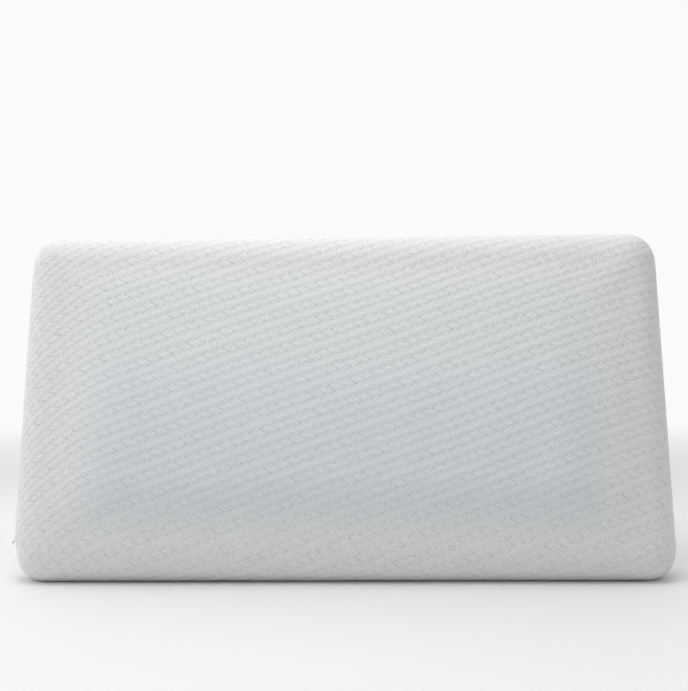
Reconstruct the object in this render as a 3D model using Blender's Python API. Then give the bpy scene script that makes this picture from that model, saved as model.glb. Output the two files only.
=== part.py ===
"""Bed pillow: a moulded memory-foam core with a cooling-gel pad, in a sewn liner and a zipped knit cover.

The pillow stands on one long edge and leans back, pressed flat where it meets the table.
Metres. +X runs along the long edge, +Y to the back, +Z up. The zip is on the short side at -X.

The form is described in the pillow's own flat frame and then stood up:
    x      along the long side, 0 at the middle
    rise   across the short side, 0 at the edge it stands on
    depth  through the thickness, 0 at the seam, negative to the front
An inset is a distance inwards from the outer face of the cover.
"""

import math

import bmesh
import bpy
from mathutils import Vector

# Overall size, over the cover
LENGTH = 0.700
WIDTH = 0.385

# The moulded form: a rounded edge all round, and inside it a swell, the crown, on each face
EDGE = 0.038
EDGE_DEPTH = 0.042
CORNER_POWER = 2.5
FRONT_POWER = 2.3
BACK_POWER = 2.9
FRONT_CROWN = 0.020
FRONT_CROWN_BELOW = 0.110
FRONT_CROWN_ABOVE = 0.260
BACK_CROWN = 0.014
BACK_CROWN_RUN = 0.120
CROWN_END_RUN = 0.130
SIDE_BOW = 0.003

# How it stands: leaning back, its lower edge pressed on to the table and bulging behind
LEAN = math.radians(13.0)
SINK = 0.005
REAR_BULGE = 0.016
FRONT_BULGE = 0.003
BULGE_HEIGHT = 0.070

# Layers, from the outside in
CLEARANCE = 0.0003
COVER_WALL = 0.0020
COVER_TO_LINER = 0.0014
LINER_WALL = 0.0008
LINER_TO_CORE = 0.0008
COVER_SEAM_HALF = 0.0012
COVER_SEAM_PROUD = 0.0006
LINER_SEAM_HALF = 0.0010

# Cooling gel pad, let into the front of the core
GEL_END_BORDER = 0.080
GEL_THICKNESS = 0.004
GEL_GAP = 0.0005
GEL_CUT_OVER = 0.010

# Zip, along the short side at -X, between the two rounded corners
ZIP_END_SPACE = 0.0085
ZIP_SIDE_GAP = 0.00035
TAPE_UNDER_PANEL = 0.00135
TAPE_THICKNESS = 0.0004
COIL_WIDTH = 0.0020
COIL_THICKNESS = 0.0019
COIL_HALF_GAP = 0.00035
BARTACK_LENGTH = 0.0030
BARTACK_THICKNESS = 0.0006

# Slider and pull tab
SLIDER_LENGTH = 0.0078
SLIDER_PLATE = 0.0010
SLIDER_FLANGE = 0.0006
SLIDER_FLANGE_DEPTH = 0.0017
BRIDGE_WIRE = 0.0011
BRIDGE_SPAN = 0.0046
BRIDGE_HEIGHT = 0.0024
BRIDGE_CORNER = 0.0007
PULL_LENGTH = 0.0135
PULL_WIDTH = 0.0034
PULL_THICKNESS = 0.0008
PULL_BAR = 0.0008
PULL_WINDOW_LENGTH = 0.0036
PULL_WINDOW_SIDE_GAP = 0.00025
PULL_REST_ANGLE = math.radians(17.0)

# Fineness of the soft forms
EDGE_STEPS = 4
LONG_STEPS = 10
SHORT_STEPS = 6

FRONT = -1
BACK = 1
ZIP_LOW = EDGE + ZIP_END_SPACE
ZIP_HIGH = WIDTH - ZIP_LOW
LINER_INSET = COVER_WALL + COVER_TO_LINER
CORE_INSET = LINER_INSET + LINER_WALL + LINER_TO_CORE
TAPE_INSET = COVER_WALL + 2 * CLEARANCE
COIL_INSET = TAPE_INSET - CLEARANCE - COIL_THICKNESS
PLATE_INSET = COIL_INSET - CLEARANCE
SLIDER_HALF_WIDTH = COIL_HALF_GAP + COIL_WIDTH + CLEARANCE + SLIDER_FLANGE
ZIP_HALF_OPENING = SLIDER_HALF_WIDTH + ZIP_SIDE_GAP
TAPE_WIDTH = ZIP_HALF_OPENING + TAPE_UNDER_PANEL - COIL_HALF_GAP
SLIDER_REST_RISE = ZIP_LOW + BARTACK_LENGTH + CLEARANCE + SLIDER_LENGTH / 2
BRIDGE_UNDERSIDE = BRIDGE_HEIGHT - BRIDGE_WIRE / 2
COLLECTION_NAME = "bed_pillow"


# ---- Blender helpers ----

def clear_scene():
    for obj in list(bpy.data.objects):
        bpy.data.objects.remove(obj, do_unlink=True)


def new_collection(name):
    collection = bpy.data.collections.new(name)
    bpy.context.scene.collection.children.link(collection)
    return collection


def new_material(name, colour, roughness, metallic=0.0):
    material = bpy.data.materials.new(name)
    material.use_nodes = True
    shader = material.node_tree.nodes["Principled BSDF"]
    shader.inputs["Base Color"].default_value = (*colour, 1.0)
    shader.inputs["Roughness"].default_value = roughness
    shader.inputs["Metallic"].default_value = metallic
    return material


def new_empty(name, collection, parent=None, location=(0, 0, 0), turn_x=0.0):
    empty = bpy.data.objects.new(name, None)
    empty.parent = parent
    empty.location = location
    empty.rotation_euler = (turn_x, 0, 0)
    collection.objects.link(empty)
    return empty


def new_object(name, bm, collection, parent, material, location=(0, 0, 0)):
    """The finished mesh as an object, smooth over its soft curves and sharp at its rims."""
    bmesh.ops.recalc_face_normals(bm, faces=bm.faces)
    if bm.calc_volume(signed=True) < 0:
        bmesh.ops.reverse_faces(bm, faces=bm.faces)
    mesh = bpy.data.meshes.new(name)
    bm.to_mesh(mesh)
    bm.free()
    mesh.shade_smooth()
    mesh.set_sharp_from_angle(angle=math.radians(40))
    mesh.materials.append(material)
    obj = bpy.data.objects.new(name, mesh)
    obj.parent = parent
    obj.location = location
    collection.objects.link(obj)
    return obj


def add_block(bm, low, high):
    """A box between two corners."""
    cube = bmesh.ops.create_cube(bm, size=1.0)
    low, high = Vector(low), Vector(high)
    bmesh.ops.scale(bm, vec=high - low, verts=cube["verts"])
    bmesh.ops.translate(bm, vec=(low + high) / 2, verts=cube["verts"])


# ---- The pillow's form ----

def smooth(value):
    """0 below 0, 1 above 1, and an even swell between."""
    t = min(max(value, 0.0), 1.0)
    return t * t * (3 - 2 * t)


def side_bow(rise):
    """How far a short side bows out at this height. It is straight along the zip."""
    from_middle = abs(rise - WIDTH / 2)
    straight = WIDTH / 2 - ZIP_LOW
    share = min(max((from_middle - straight) / (WIDTH / 2 - straight), 0.0), 1.0)
    return SIDE_BOW * (1 - share**2)


def crown(side, x, rise):
    """The swell of one face inside its rounded edge."""
    ends = smooth((LENGTH / 2 - abs(x)) / CROWN_END_RUN)
    if side == FRONT:
        below, above, height = FRONT_CROWN_BELOW, FRONT_CROWN_ABOVE, FRONT_CROWN
    else:
        below, above, height = BACK_CROWN_RUN, BACK_CROWN_RUN, BACK_CROWN
    return height * ends * smooth(rise / below) * smooth((WIDTH - rise) / above)


def zip_opening(x, rise):
    """1 along the zip, where the panels' rims stand apart, and 0 from the rounded corners on."""
    if x > 0:
        return 0.0
    return smooth((min(rise, WIDTH - rise) - EDGE) / ZIP_END_SPACE)


def stations(half, middle, inset, border, steps):
    """Places across the form, each with its share of the way out through the rounded edge."""
    flat = half - EDGE
    reach = EDGE - inset
    shares = [math.cos(math.pi / 2 * i / EDGE_STEPS) for i in range(EDGE_STEPS + 1)]
    inner = half - border
    low = [(middle - flat - reach * share, share) for share in shares]
    inside = [(middle - inner + 2 * inner * i / steps, 0.0) for i in range(steps + 1)]
    high = [(middle + flat + reach * share, share) for share in reversed(shares)]
    return low + inside + high


def form_columns(inset):
    return stations(LENGTH / 2, 0.0, inset, GEL_END_BORDER, LONG_STEPS)


def form_rows(inset):
    return stations(WIDTH / 2, WIDTH / 2, inset, ZIP_LOW, SHORT_STEPS)


def form_point(side, inset, rim, opens, column, row):
    """A point of one half of the form. rim is the distance of its edge from the seam plane."""
    (x, share_x), (rise, share_rise) = column, row
    reach = EDGE - inset
    share = max(share_x, share_rise)
    if min(share_x, share_rise) > 0:
        rounding = share / (share_x**CORNER_POWER + share_rise**CORNER_POWER) ** (1 / CORNER_POWER)
        x -= math.copysign(reach * share_x * (1 - rounding), x)
        rise -= math.copysign(reach * share_rise * (1 - rounding), rise - WIDTH / 2)
    power = FRONT_POWER if side == FRONT else BACK_POWER
    swell = (EDGE_DEPTH - inset) * max(1 - share**power, 0.0) ** (1 / power)
    if opens:
        rim += (ZIP_HALF_OPENING - rim) * zip_opening(x, rise) * share_x**8
    depth = side * (rim + swell + crown(side, x, rise))
    x += math.copysign(side_bow(rise), x) * abs(x) / (LENGTH / 2)
    return x, rise, depth


def stand(x, rise, depth, floor):
    """A point of the flat form, leaned back and pressed down on to the table."""
    y = rise * math.sin(LEAN) + depth * math.cos(LEAN)
    z = rise * math.cos(LEAN) - depth * math.sin(LEAN) - SINK
    pressed = min(max(1 - z / BULGE_HEIGHT, 0.0), 1.0) ** 2
    if depth > 0:
        y += REAR_BULGE * pressed * min(depth / EDGE_DEPTH, 1.0)
    else:
        y += FRONT_BULGE * pressed * max(depth / EDGE_DEPTH, -1.0)
    return Vector((x, y, max(z, floor)))


def add_skin(bm, side, inset, rim, opens=False, columns=None, rows=None, floor=None):
    """One face of the form as a sheet. Returns its vertices as a grid of rows.

    Every sheet is split along the same diagonals, so that nested layers stay parallel.
    """
    columns = columns or form_columns(inset)
    rows = rows or form_rows(inset)
    across, up = len(columns) - 1, len(rows) - 1
    made = bmesh.ops.create_grid(bm, x_segments=across, y_segments=up, size=1.0)
    grid = [[None] * (across + 1) for _ in range(up + 1)]
    for vert in made["verts"]:
        i = round((vert.co.x + 1) / 2 * across)
        j = round((vert.co.y + 1) / 2 * up)
        point = form_point(side, inset, rim, opens, columns[i], rows[j])
        vert.co = stand(*point, inset if floor is None else floor)
        grid[j][i] = vert
    faces = list({face for vert in made["verts"] for face in vert.link_faces})
    bmesh.ops.triangulate(bm, faces=sorted(faces, key=lambda face: face.index), quad_method="FIXED")
    return grid


def border(grid):
    """The vertices round the edge of a grid, in order."""
    bottom = grid[0][:-1]
    right = [row[-1] for row in grid[:-1]]
    top = grid[-1][:0:-1]
    left = [row[0] for row in grid[:0:-1]]
    return bottom + right + top + left


def join_borders(bm, grid_a, grid_b):
    a, b = border(grid_a), border(grid_b)
    for i in range(len(a)):
        bm.faces.new((a[i - 1], a[i], b[i], b[i - 1]))


def panel(name, side, outer, wall, rim, opens, collection, parent, material):
    """A sewn cloth panel: a dish that holds one half of the form."""
    bm = bmesh.new()
    outside = add_skin(bm, side, outer, rim, opens)
    inside = add_skin(bm, side, outer + wall, rim, opens)
    join_borders(bm, outside, inside)
    return new_object(name, bm, collection, parent, material)


# ---- Seams ----

def outline(inset):
    """The seam line round the form at an inset, as x and rise, in order from the lower corner at -X."""
    columns, rows = form_columns(inset), form_rows(inset)
    order = [(column, rows[0]) for column in columns[:-1]]
    order += [(columns[-1], row) for row in rows[:-1]]
    order += [(column, rows[-1]) for column in columns[:0:-1]]
    order += [(columns[0], row) for row in rows[:0:-1]]
    return [form_point(FRONT, inset, 0.0, False, column, row)[:2] for column, row in order]


def seam(name, half_width, outer, inner, floors, open_at_zip, collection, parent, material):
    """The sewn edge between two panels, as a strip that runs round the form."""
    outer_line, inner_line = outline(outer), outline(inner)
    if open_at_zip:
        on_zip = [x < 0 and ZIP_LOW - 1e-6 < rise < ZIP_HIGH + 1e-6 for x, rise in outer_line]
        last = max(i for i, held in enumerate(on_zip) if held)
        first = min(i for i, held in enumerate(on_zip) if held)
        outer_line = outer_line[last + 1:] + outer_line[:first]
        inner_line = inner_line[last + 1:] + inner_line[:first]
    bm = bmesh.new()
    rings = []
    for outer_point, inner_point in zip(outer_line, inner_line):
        corners = [(outer_point, -half_width, floors[0]), (outer_point, half_width, floors[0])]
        corners += [(inner_point, half_width, floors[1]), (inner_point, -half_width, floors[1])]
        rings.append([bm.verts.new(stand(*point, depth, floor)) for point, depth, floor in corners])
    if open_at_zip:
        pairs = list(zip(rings, rings[1:]))
        bm.faces.new(rings[0])
        bm.faces.new(reversed(rings[-1]))
    else:
        pairs = list(zip(rings, rings[1:] + rings[:1]))
    for ring, following in pairs:
        for i in range(4):
            bm.faces.new((ring[i - 1], ring[i], following[i], following[i - 1]))
    return new_object(name, bm, collection, parent, material)


# ---- Core and gel pad ----

def gel_solid(name, grow, front_inset, back_inset, collection, parent, material):
    """The gel pad's shape: a slab that follows the front face, larger all round by grow."""
    ends = LENGTH / 2 - GEL_END_BORDER
    columns = [(-ends + 2 * ends * i / LONG_STEPS, 0.0) for i in range(LONG_STEPS + 1)]
    rows = [(ZIP_LOW + (ZIP_HIGH - ZIP_LOW) * i / SHORT_STEPS, 0.0) for i in range(SHORT_STEPS + 1)]
    columns[0], columns[-1] = (-ends - grow, 0.0), (ends + grow, 0.0)
    rows[0], rows[-1] = (ZIP_LOW - grow, 0.0), (ZIP_HIGH + grow, 0.0)
    bm = bmesh.new()
    rim = COVER_SEAM_HALF
    front = add_skin(bm, FRONT, front_inset, rim, columns=columns, rows=rows, floor=CORE_INSET)
    back = add_skin(bm, FRONT, back_inset, rim, columns=columns, rows=rows, floor=CORE_INSET)
    join_borders(bm, front, back)
    return new_object(name, bm, collection, parent, material)


def foam_core(collection, cutters, parent, material):
    """Both halves of the moulding, with the recess for the gel pad."""
    bm = bmesh.new()
    front = add_skin(bm, FRONT, CORE_INSET, COVER_SEAM_HALF)
    back = add_skin(bm, BACK, CORE_INSET, COVER_SEAM_HALF)
    join_borders(bm, front, back)
    core = new_object("foam_core", bm, collection, parent, material)
    recess_floor = CORE_INSET + GEL_THICKNESS + GEL_GAP
    recess_top = CORE_INSET - GEL_CUT_OVER
    cutter = gel_solid("gel_recess", GEL_GAP, recess_top, recess_floor, cutters, parent, material)
    cutter.hide_render = True
    cutter.display_type = "WIRE"
    cut = core.modifiers.new("gel_recess", "BOOLEAN")
    cut.operation = "DIFFERENCE"
    cut.solver = "EXACT"
    cut.object = cutter
    return core


# ---- Zip: its pieces lie along the local Z of the zip line, with depth on Y and inset on X ----

def zip_strip(name, layer, depths, rises, collection, parent, material):
    """A straight strip. layer is its inset and its thickness."""
    inset, thickness = layer
    bm = bmesh.new()
    add_block(bm, (inset, depths[0], rises[0]), (inset + thickness, depths[1], rises[1]))
    return new_object(name, bm, collection, parent, material)


def zip_chain(collection, line, tape_material, coil_material, thread_material):
    """Two tapes sewn behind the panels' rims, a coil on each, and a bar tack across each end."""
    rises = (ZIP_LOW + CLEARANCE, ZIP_HIGH - CLEARANCE)
    for side, word in ((FRONT, "front"), (BACK, "back")):
        near = side * COIL_HALF_GAP
        tape = sorted((near, near + side * TAPE_WIDTH))
        coil = sorted((near, near + side * COIL_WIDTH))
        layer = (TAPE_INSET, TAPE_THICKNESS)
        zip_strip(f"zip_tape_{word}", layer, tape, rises, collection, line, tape_material)
        layer = (COIL_INSET, COIL_THICKNESS)
        zip_strip(f"zip_coil_{word}", layer, coil, rises, collection, line, coil_material)
    layer = (PLATE_INSET - BARTACK_THICKNESS, BARTACK_THICKNESS)
    across = (-COIL_HALF_GAP - COIL_WIDTH, COIL_HALF_GAP + COIL_WIDTH)
    for word, low in (("lower", ZIP_LOW), ("upper", ZIP_HIGH - BARTACK_LENGTH)):
        ends = (low, low + BARTACK_LENGTH)
        zip_strip(f"zip_bartack_{word}", layer, across, ends, collection, line, thread_material)


def bridge_wire(collection, slider):
    """The arch that holds the pull tab, as a bent wire that runs into the plate."""
    half, top, cut = BRIDGE_SPAN / 2, BRIDGE_HEIGHT, BRIDGE_CORNER
    foot = -SLIDER_PLATE / 2
    route = [(foot, -half), (top - cut, -half), (top, -half + cut)]
    route += [(top, half - cut), (top - cut, half), (foot, half)]
    curve = bpy.data.curves.new("bridge_wire", "CURVE")
    curve.dimensions = "3D"
    curve.bevel_depth = BRIDGE_WIRE / 2
    curve.bevel_resolution = 2
    curve.use_fill_caps = True
    spline = curve.splines.new("POLY")
    spline.points.add(len(route) - 1)
    for point, (out, along) in zip(spline.points, route):
        point.co = (-out, 0, along, 1)
    wire = bpy.data.objects.new("bridge_wire", curve)
    wire.parent = slider
    collection.objects.link(wire)
    return wire


def as_mesh_object(source, name, collection, parent):
    """A curve object made a closed mesh."""
    bpy.context.view_layer.update()
    evaluated = source.evaluated_get(bpy.context.evaluated_depsgraph_get())
    mesh = bpy.data.meshes.new_from_object(evaluated)
    bpy.data.objects.remove(source, do_unlink=True)
    bm = bmesh.new()
    bm.from_mesh(mesh)
    bmesh.ops.remove_doubles(bm, verts=bm.verts, dist=1e-6)
    bmesh.ops.recalc_face_normals(bm, faces=bm.faces)
    bm.to_mesh(mesh)
    bm.free()
    obj = bpy.data.objects.new(name, mesh)
    obj.parent = parent
    collection.objects.link(obj)
    return obj


def zip_slider(collection, cutters, line, material):
    """A channel over the coils with a bridge for the pull tab, built about its plate's outer face."""
    place = (PLATE_INSET - SLIDER_PLATE, 0, SLIDER_REST_RISE)
    low, high = -SLIDER_LENGTH / 2, SLIDER_LENGTH / 2
    bm = bmesh.new()
    half, wall = SLIDER_HALF_WIDTH, SLIDER_FLANGE
    lip = SLIDER_PLATE + SLIDER_FLANGE_DEPTH
    section = [(0, -half), (0, half), (lip, half), (lip, half - wall)]
    section += [(SLIDER_PLATE, half - wall), (SLIDER_PLATE, wall - half), (lip, wall - half), (lip, -half)]
    face = bm.faces.new([bm.verts.new((inwards, depth, low)) for inwards, depth in section])
    drawn = bmesh.ops.extrude_face_region(bm, geom=[face])
    tops = [item for item in drawn["geom"] if isinstance(item, bmesh.types.BMVert)]
    bmesh.ops.translate(bm, vec=(0, 0, high - low), verts=tops)
    slider = new_object("zip_slider", bm, collection, line, material, place)
    wire = as_mesh_object(bridge_wire(collection, slider), "slider_bridge", cutters, slider)
    wire.hide_render = True
    wire.display_type = "WIRE"
    join = slider.modifiers.new("bridge", "BOOLEAN")
    join.operation = "UNION"
    join.solver = "EXACT"
    join.object = wire
    return slider


def zip_pull(collection, line, material):
    """The pull tab. Its origin is on its hinge axis, the bar that lies under the slider's bridge."""
    hinge_out = BRIDGE_UNDERSIDE / 2
    place = (PLATE_INSET - SLIDER_PLATE - hinge_out, 0, SLIDER_REST_RISE)
    half, bar, thick = PULL_WIDTH / 2, PULL_BAR / 2, PULL_THICKNESS / 2
    window = BRIDGE_WIRE / 2 + PULL_WINDOW_SIDE_GAP
    window_end = -bar - PULL_WINDOW_LENGTH
    bm = bmesh.new()
    outer = [(-half, bar), (half, bar), (half, -PULL_LENGTH), (-half, -PULL_LENGTH)]
    hole = [(-window, -bar), (window, -bar), (window, window_end), (-window, window_end)]
    rings = []
    for out in (-thick, thick):
        for loop in (outer, hole):
            rings.append([bm.verts.new((out, depth, along)) for depth, along in loop])
    rings = [rings[:2], rings[2:]]
    for i in range(4):
        for ring in rings:
            bm.faces.new((ring[0][i - 1], ring[0][i], ring[1][i], ring[1][i - 1]))
        for loop in (0, 1):
            a, b = rings[0][loop], rings[1][loop]
            bm.faces.new((a[i - 1], a[i], b[i], b[i - 1]))
    pull = new_object("zip_pull", bm, collection, line, material, place)
    pull.rotation_euler = (0, PULL_REST_ANGLE, 0)
    return pull


# ---- The whole pillow ----

def centre_on_origin(root):
    """Moves the whole pillow so that the middle of its base box is at the world's origin."""
    bpy.context.view_layer.update()
    graph = bpy.context.evaluated_depsgraph_get()
    corners = []
    for obj in bpy.data.collections[COLLECTION_NAME].objects:
        if obj.type == "MESH":
            evaluated = obj.evaluated_get(graph)
            corners += [evaluated.matrix_world @ vert.co for vert in evaluated.data.vertices]
    for axis in (0, 1):
        values = [corner[axis] for corner in corners]
        root.location[axis] -= (min(values) + max(values)) / 2


def build():
    clear_scene()
    parts = new_collection(COLLECTION_NAME)
    cutters = new_collection("cutters")
    knit = new_material("white_knit", (0.86, 0.87, 0.87), 0.9)
    jersey = new_material("liner_jersey", (0.88, 0.88, 0.86), 0.85)
    thread = new_material("white_thread", (0.84, 0.84, 0.83), 0.7)
    foam = new_material("memory_foam", (0.85, 0.84, 0.78), 0.95)
    gel = new_material("cooling_gel", (0.42, 0.66, 0.86), 0.35)
    tape = new_material("zip_tape", (0.84, 0.84, 0.84), 0.8)
    coil = new_material("zip_nylon", (0.80, 0.80, 0.80), 0.45)
    slider_metal = new_material("slider_metal", (0.24, 0.25, 0.26), 0.38, 1.0)
    pull_metal = new_material("pull_metal", (0.66, 0.67, 0.68), 0.32, 1.0)

    pillow = new_empty("pillow", parts)
    for side, word in ((FRONT, "front"), (BACK, "back")):
        panel(f"cover_{word}_panel", side, 0.0, COVER_WALL, COVER_SEAM_HALF, True, parts, pillow, knit)
        name = f"liner_{word}_panel"
        panel(name, side, LINER_INSET, LINER_WALL, LINER_SEAM_HALF, False, parts, pillow, jersey)
    cover_floors = (CLEARANCE, COVER_WALL)
    half = COVER_SEAM_HALF - CLEARANCE
    seam("cover_seam", half, -COVER_SEAM_PROUD, COVER_WALL, cover_floors, True, parts, pillow, thread)
    liner_in = LINER_INSET + LINER_WALL
    half = LINER_SEAM_HALF - CLEARANCE
    seam("liner_seam", half, LINER_INSET, liner_in, (LINER_INSET, liner_in), False, parts, pillow, thread)
    foam_core(parts, cutters, pillow, foam)
    gel_solid("gel_pad", 0.0, CORE_INSET, CORE_INSET + GEL_THICKNESS, parts, pillow, gel)

    side_x = -(LENGTH / 2 + SIDE_BOW)
    line = new_empty("zip_line", parts, pillow, (side_x, 0, -SINK), -LEAN)
    zip_chain(parts, line, tape, coil, thread)
    zip_slider(parts, cutters, line, slider_metal)
    zip_pull(parts, line, pull_metal)
    centre_on_origin(pillow)


build()
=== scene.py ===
import math

import bmesh
import bpy
import numpy as np
from mathutils import Matrix, Vector, kdtree


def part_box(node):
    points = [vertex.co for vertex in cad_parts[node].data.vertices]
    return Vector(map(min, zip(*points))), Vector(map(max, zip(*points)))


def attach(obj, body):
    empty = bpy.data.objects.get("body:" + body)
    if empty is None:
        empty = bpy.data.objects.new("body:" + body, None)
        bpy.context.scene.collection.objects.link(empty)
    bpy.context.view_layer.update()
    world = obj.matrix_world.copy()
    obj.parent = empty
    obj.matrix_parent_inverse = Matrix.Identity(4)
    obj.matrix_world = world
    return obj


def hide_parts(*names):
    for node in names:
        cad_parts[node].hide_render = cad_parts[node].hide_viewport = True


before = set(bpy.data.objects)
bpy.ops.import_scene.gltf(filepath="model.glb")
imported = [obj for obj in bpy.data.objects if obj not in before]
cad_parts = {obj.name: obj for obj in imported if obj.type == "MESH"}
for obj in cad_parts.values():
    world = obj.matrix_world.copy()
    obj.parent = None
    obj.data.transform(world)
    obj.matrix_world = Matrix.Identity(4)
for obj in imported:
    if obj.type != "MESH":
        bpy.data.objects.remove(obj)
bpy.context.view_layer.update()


# ---- Foam core ----
# The pillow is one moulding of slow-recovery memory foam. It comes out of its mould with rounded
# edges and a crowned face, and it stands on a long edge, leaned back, so its base is pressed flat.
# A shallow recess in its front face holds the gel pad.

LENGTH = 0.700
WIDTH = 0.385
EDGE = 0.038
EDGE_DEPTH = 0.042
CORNER_POWER = 2.5
FRONT_POWER = 2.3
BACK_POWER = 2.9
FRONT_CROWN = 0.020
FRONT_CROWN_BELOW = 0.110
FRONT_CROWN_ABOVE = 0.260
BACK_CROWN = 0.014
BACK_CROWN_RUN = 0.120
CROWN_END_RUN = 0.130
SIDE_BOW = 0.003
END_TUCK = 0.003  # the closed end of the zip draws the cloth in just below it
END_TUCK_RUN = 0.014
LEAN = math.radians(13)
SINK = 0.005
REAR_BULGE = 0.016
FRONT_BULGE = 0.003
BULGE_HEIGHT = 0.070
CLEARANCE = 0.0003
COVER_WALL = 0.0020
LINER_INSET = COVER_WALL + 0.0014
LINER_WALL = 0.0008
CORE_INSET = LINER_INSET + LINER_WALL + 0.0008
COVER_SEAM_HALF = 0.0012
ZIP_END_SPACE = 0.0085
ZIP_HALF_OPENING = 0.0036
ZIP_LOW = EDGE + ZIP_END_SPACE
ZIP_HIGH = WIDTH - ZIP_LOW
GEL_HALF_LENGTH = LENGTH / 2 - 0.080
GEL_THICKNESS = 0.004
GEL_GAP = 0.0005
CORE_PITCH = 0.0035
ROLL_ALLOWANCE = 0.027
STEP_GROUP = 4
FRONT, BACK = -1, 1

TAPE_INSET = COVER_WALL + 2 * CLEARANCE
TAPE_THICKNESS = 0.0004
TAPE_WIDTH = 0.0046
COIL_HALF_GAP = 0.00035
UP_THE_LEAN = Vector((0, math.sin(LEAN), math.cos(LEAN)))
THROUGH_THE_LEAN = Vector((0, math.cos(LEAN), -math.sin(LEAN)))

tape_corner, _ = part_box("zip_tape_front")
tape_foot = UP_THE_LEAN * (ZIP_LOW + CLEARANCE) - THROUGH_THE_LEAN * (COIL_HALF_GAP + TAPE_WIDTH)
CENTRE_X = tape_corner[0] + LENGTH / 2 + SIDE_BOW - TAPE_INSET
CENTRE_Y = tape_corner[1] - tape_foot.y


def smooth(values):
    """0 below 0, 1 above 1, and an even swell between."""
    t = np.clip(values, 0.0, 1.0)
    return t * t * (3 - 2 * t)


def spread(half, pitch, inset):
    """Even steps over one direction of a face: distance from the middle, place, share of the rolled edge.

    The rolled edge is a quarter of a superellipse, so its length is summed along it.
    """
    share = np.sin(np.linspace(0, math.pi / 2, 600))
    swell = np.maximum(1 - share**FRONT_POWER, 0) ** (1 / FRONT_POWER)
    steps = np.hypot(np.diff(share) * (EDGE - inset), np.diff(swell) * (EDGE_DEPTH - inset))
    run = np.concatenate(([0.0], np.cumsum(steps)))
    flat = half - EDGE
    reach = flat + run[-1]
    count = STEP_GROUP * round(2 * (half + ROLL_ALLOWANCE) / pitch / STEP_GROUP)
    along = np.linspace(-reach, reach, count + 1)
    rolled = np.interp(np.abs(along) - flat, run, share)
    place = np.sign(along) * (np.minimum(np.abs(along), flat) + (EDGE - inset) * rolled)
    return along, place, rolled


def face_points(side, inset, rim, opens, columns, rows, floor=None, extra=0.0):
    """Points of one half of the form, standing, as a grid of rows. extra sinks the face further in."""
    x, share_x = (np.asarray(values)[None, :] for values in columns)
    rise, share_rise = (np.asarray(values)[:, None] for values in rows)
    reach = EDGE - inset
    share = np.maximum(share_x, share_rise)
    both = (share_x**CORNER_POWER + share_rise**CORNER_POWER) ** (1 / CORNER_POWER)
    corner = (share_x > 0) & (share_rise > 0)
    rounding = np.where(corner, share / np.maximum(both, 1e-9), 1.0)
    flat_x = x - np.sign(x) * reach * share_x * (1 - rounding)
    flat_rise = rise - np.sign(rise - WIDTH / 2) * reach * share_rise * (1 - rounding)
    power = FRONT_POWER if side == FRONT else BACK_POWER
    swell = (EDGE_DEPTH - inset) * np.maximum(1 - share**power, 0) ** (1 / power)
    if opens:
        zipped = smooth((np.minimum(flat_rise, WIDTH - flat_rise) - EDGE) / ZIP_END_SPACE)
        rim = rim + (ZIP_HALF_OPENING - rim) * zipped * (flat_x < 0) * share_x**8
    ends = smooth((LENGTH / 2 - np.abs(flat_x)) / CROWN_END_RUN)
    if side == FRONT:
        below, above, height = FRONT_CROWN_BELOW, FRONT_CROWN_ABOVE, FRONT_CROWN
    else:
        below, above, height = BACK_CROWN_RUN, BACK_CROWN_RUN, BACK_CROWN
    crown = height * ends * smooth(flat_rise / below) * smooth((WIDTH - flat_rise) / above)
    depth = side * (rim + swell + crown - extra)
    straight = WIDTH / 2 - ZIP_LOW
    past_zip = np.clip((np.abs(flat_rise - WIDTH / 2) - straight) / ZIP_LOW, 0, 1)
    bowed = flat_x + np.sign(flat_x) * SIDE_BOW * (1 - past_zip**2) * np.abs(flat_x) / (LENGTH / 2)
    below_zip = smooth((ZIP_LOW - flat_rise) / END_TUCK_RUN)
    bowed = bowed + END_TUCK * below_zip * np.maximum(-flat_x, 0) / (LENGTH / 2)
    return stand(bowed, flat_rise, depth, inset if floor is None else floor)


def stand(x, rise, depth, floor):
    """Flat points leaned back and pressed down on to the floor."""
    y = rise * math.sin(LEAN) + depth * math.cos(LEAN)
    z = rise * math.cos(LEAN) - depth * math.sin(LEAN) - SINK
    pressed = np.clip(1 - z / BULGE_HEIGHT, 0, 1) ** 2
    rear = REAR_BULGE * pressed * np.minimum(depth / EDGE_DEPTH, 1)
    front = FRONT_BULGE * pressed * np.maximum(depth / EDGE_DEPTH, -1)
    y = y + np.where(depth > 0, rear, front)
    x, y, z = np.broadcast_arrays(x + CENTRE_X, y + CENTRE_Y, np.maximum(z, floor))
    return np.stack((x, y, z), axis=-1)


def rim_loop(grid):
    """The points round the edge of a grid, in order."""
    return np.concatenate((grid[0, :-1], grid[:-1, -1], grid[-1, :0:-1], grid[:0:-1, 0]))


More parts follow.
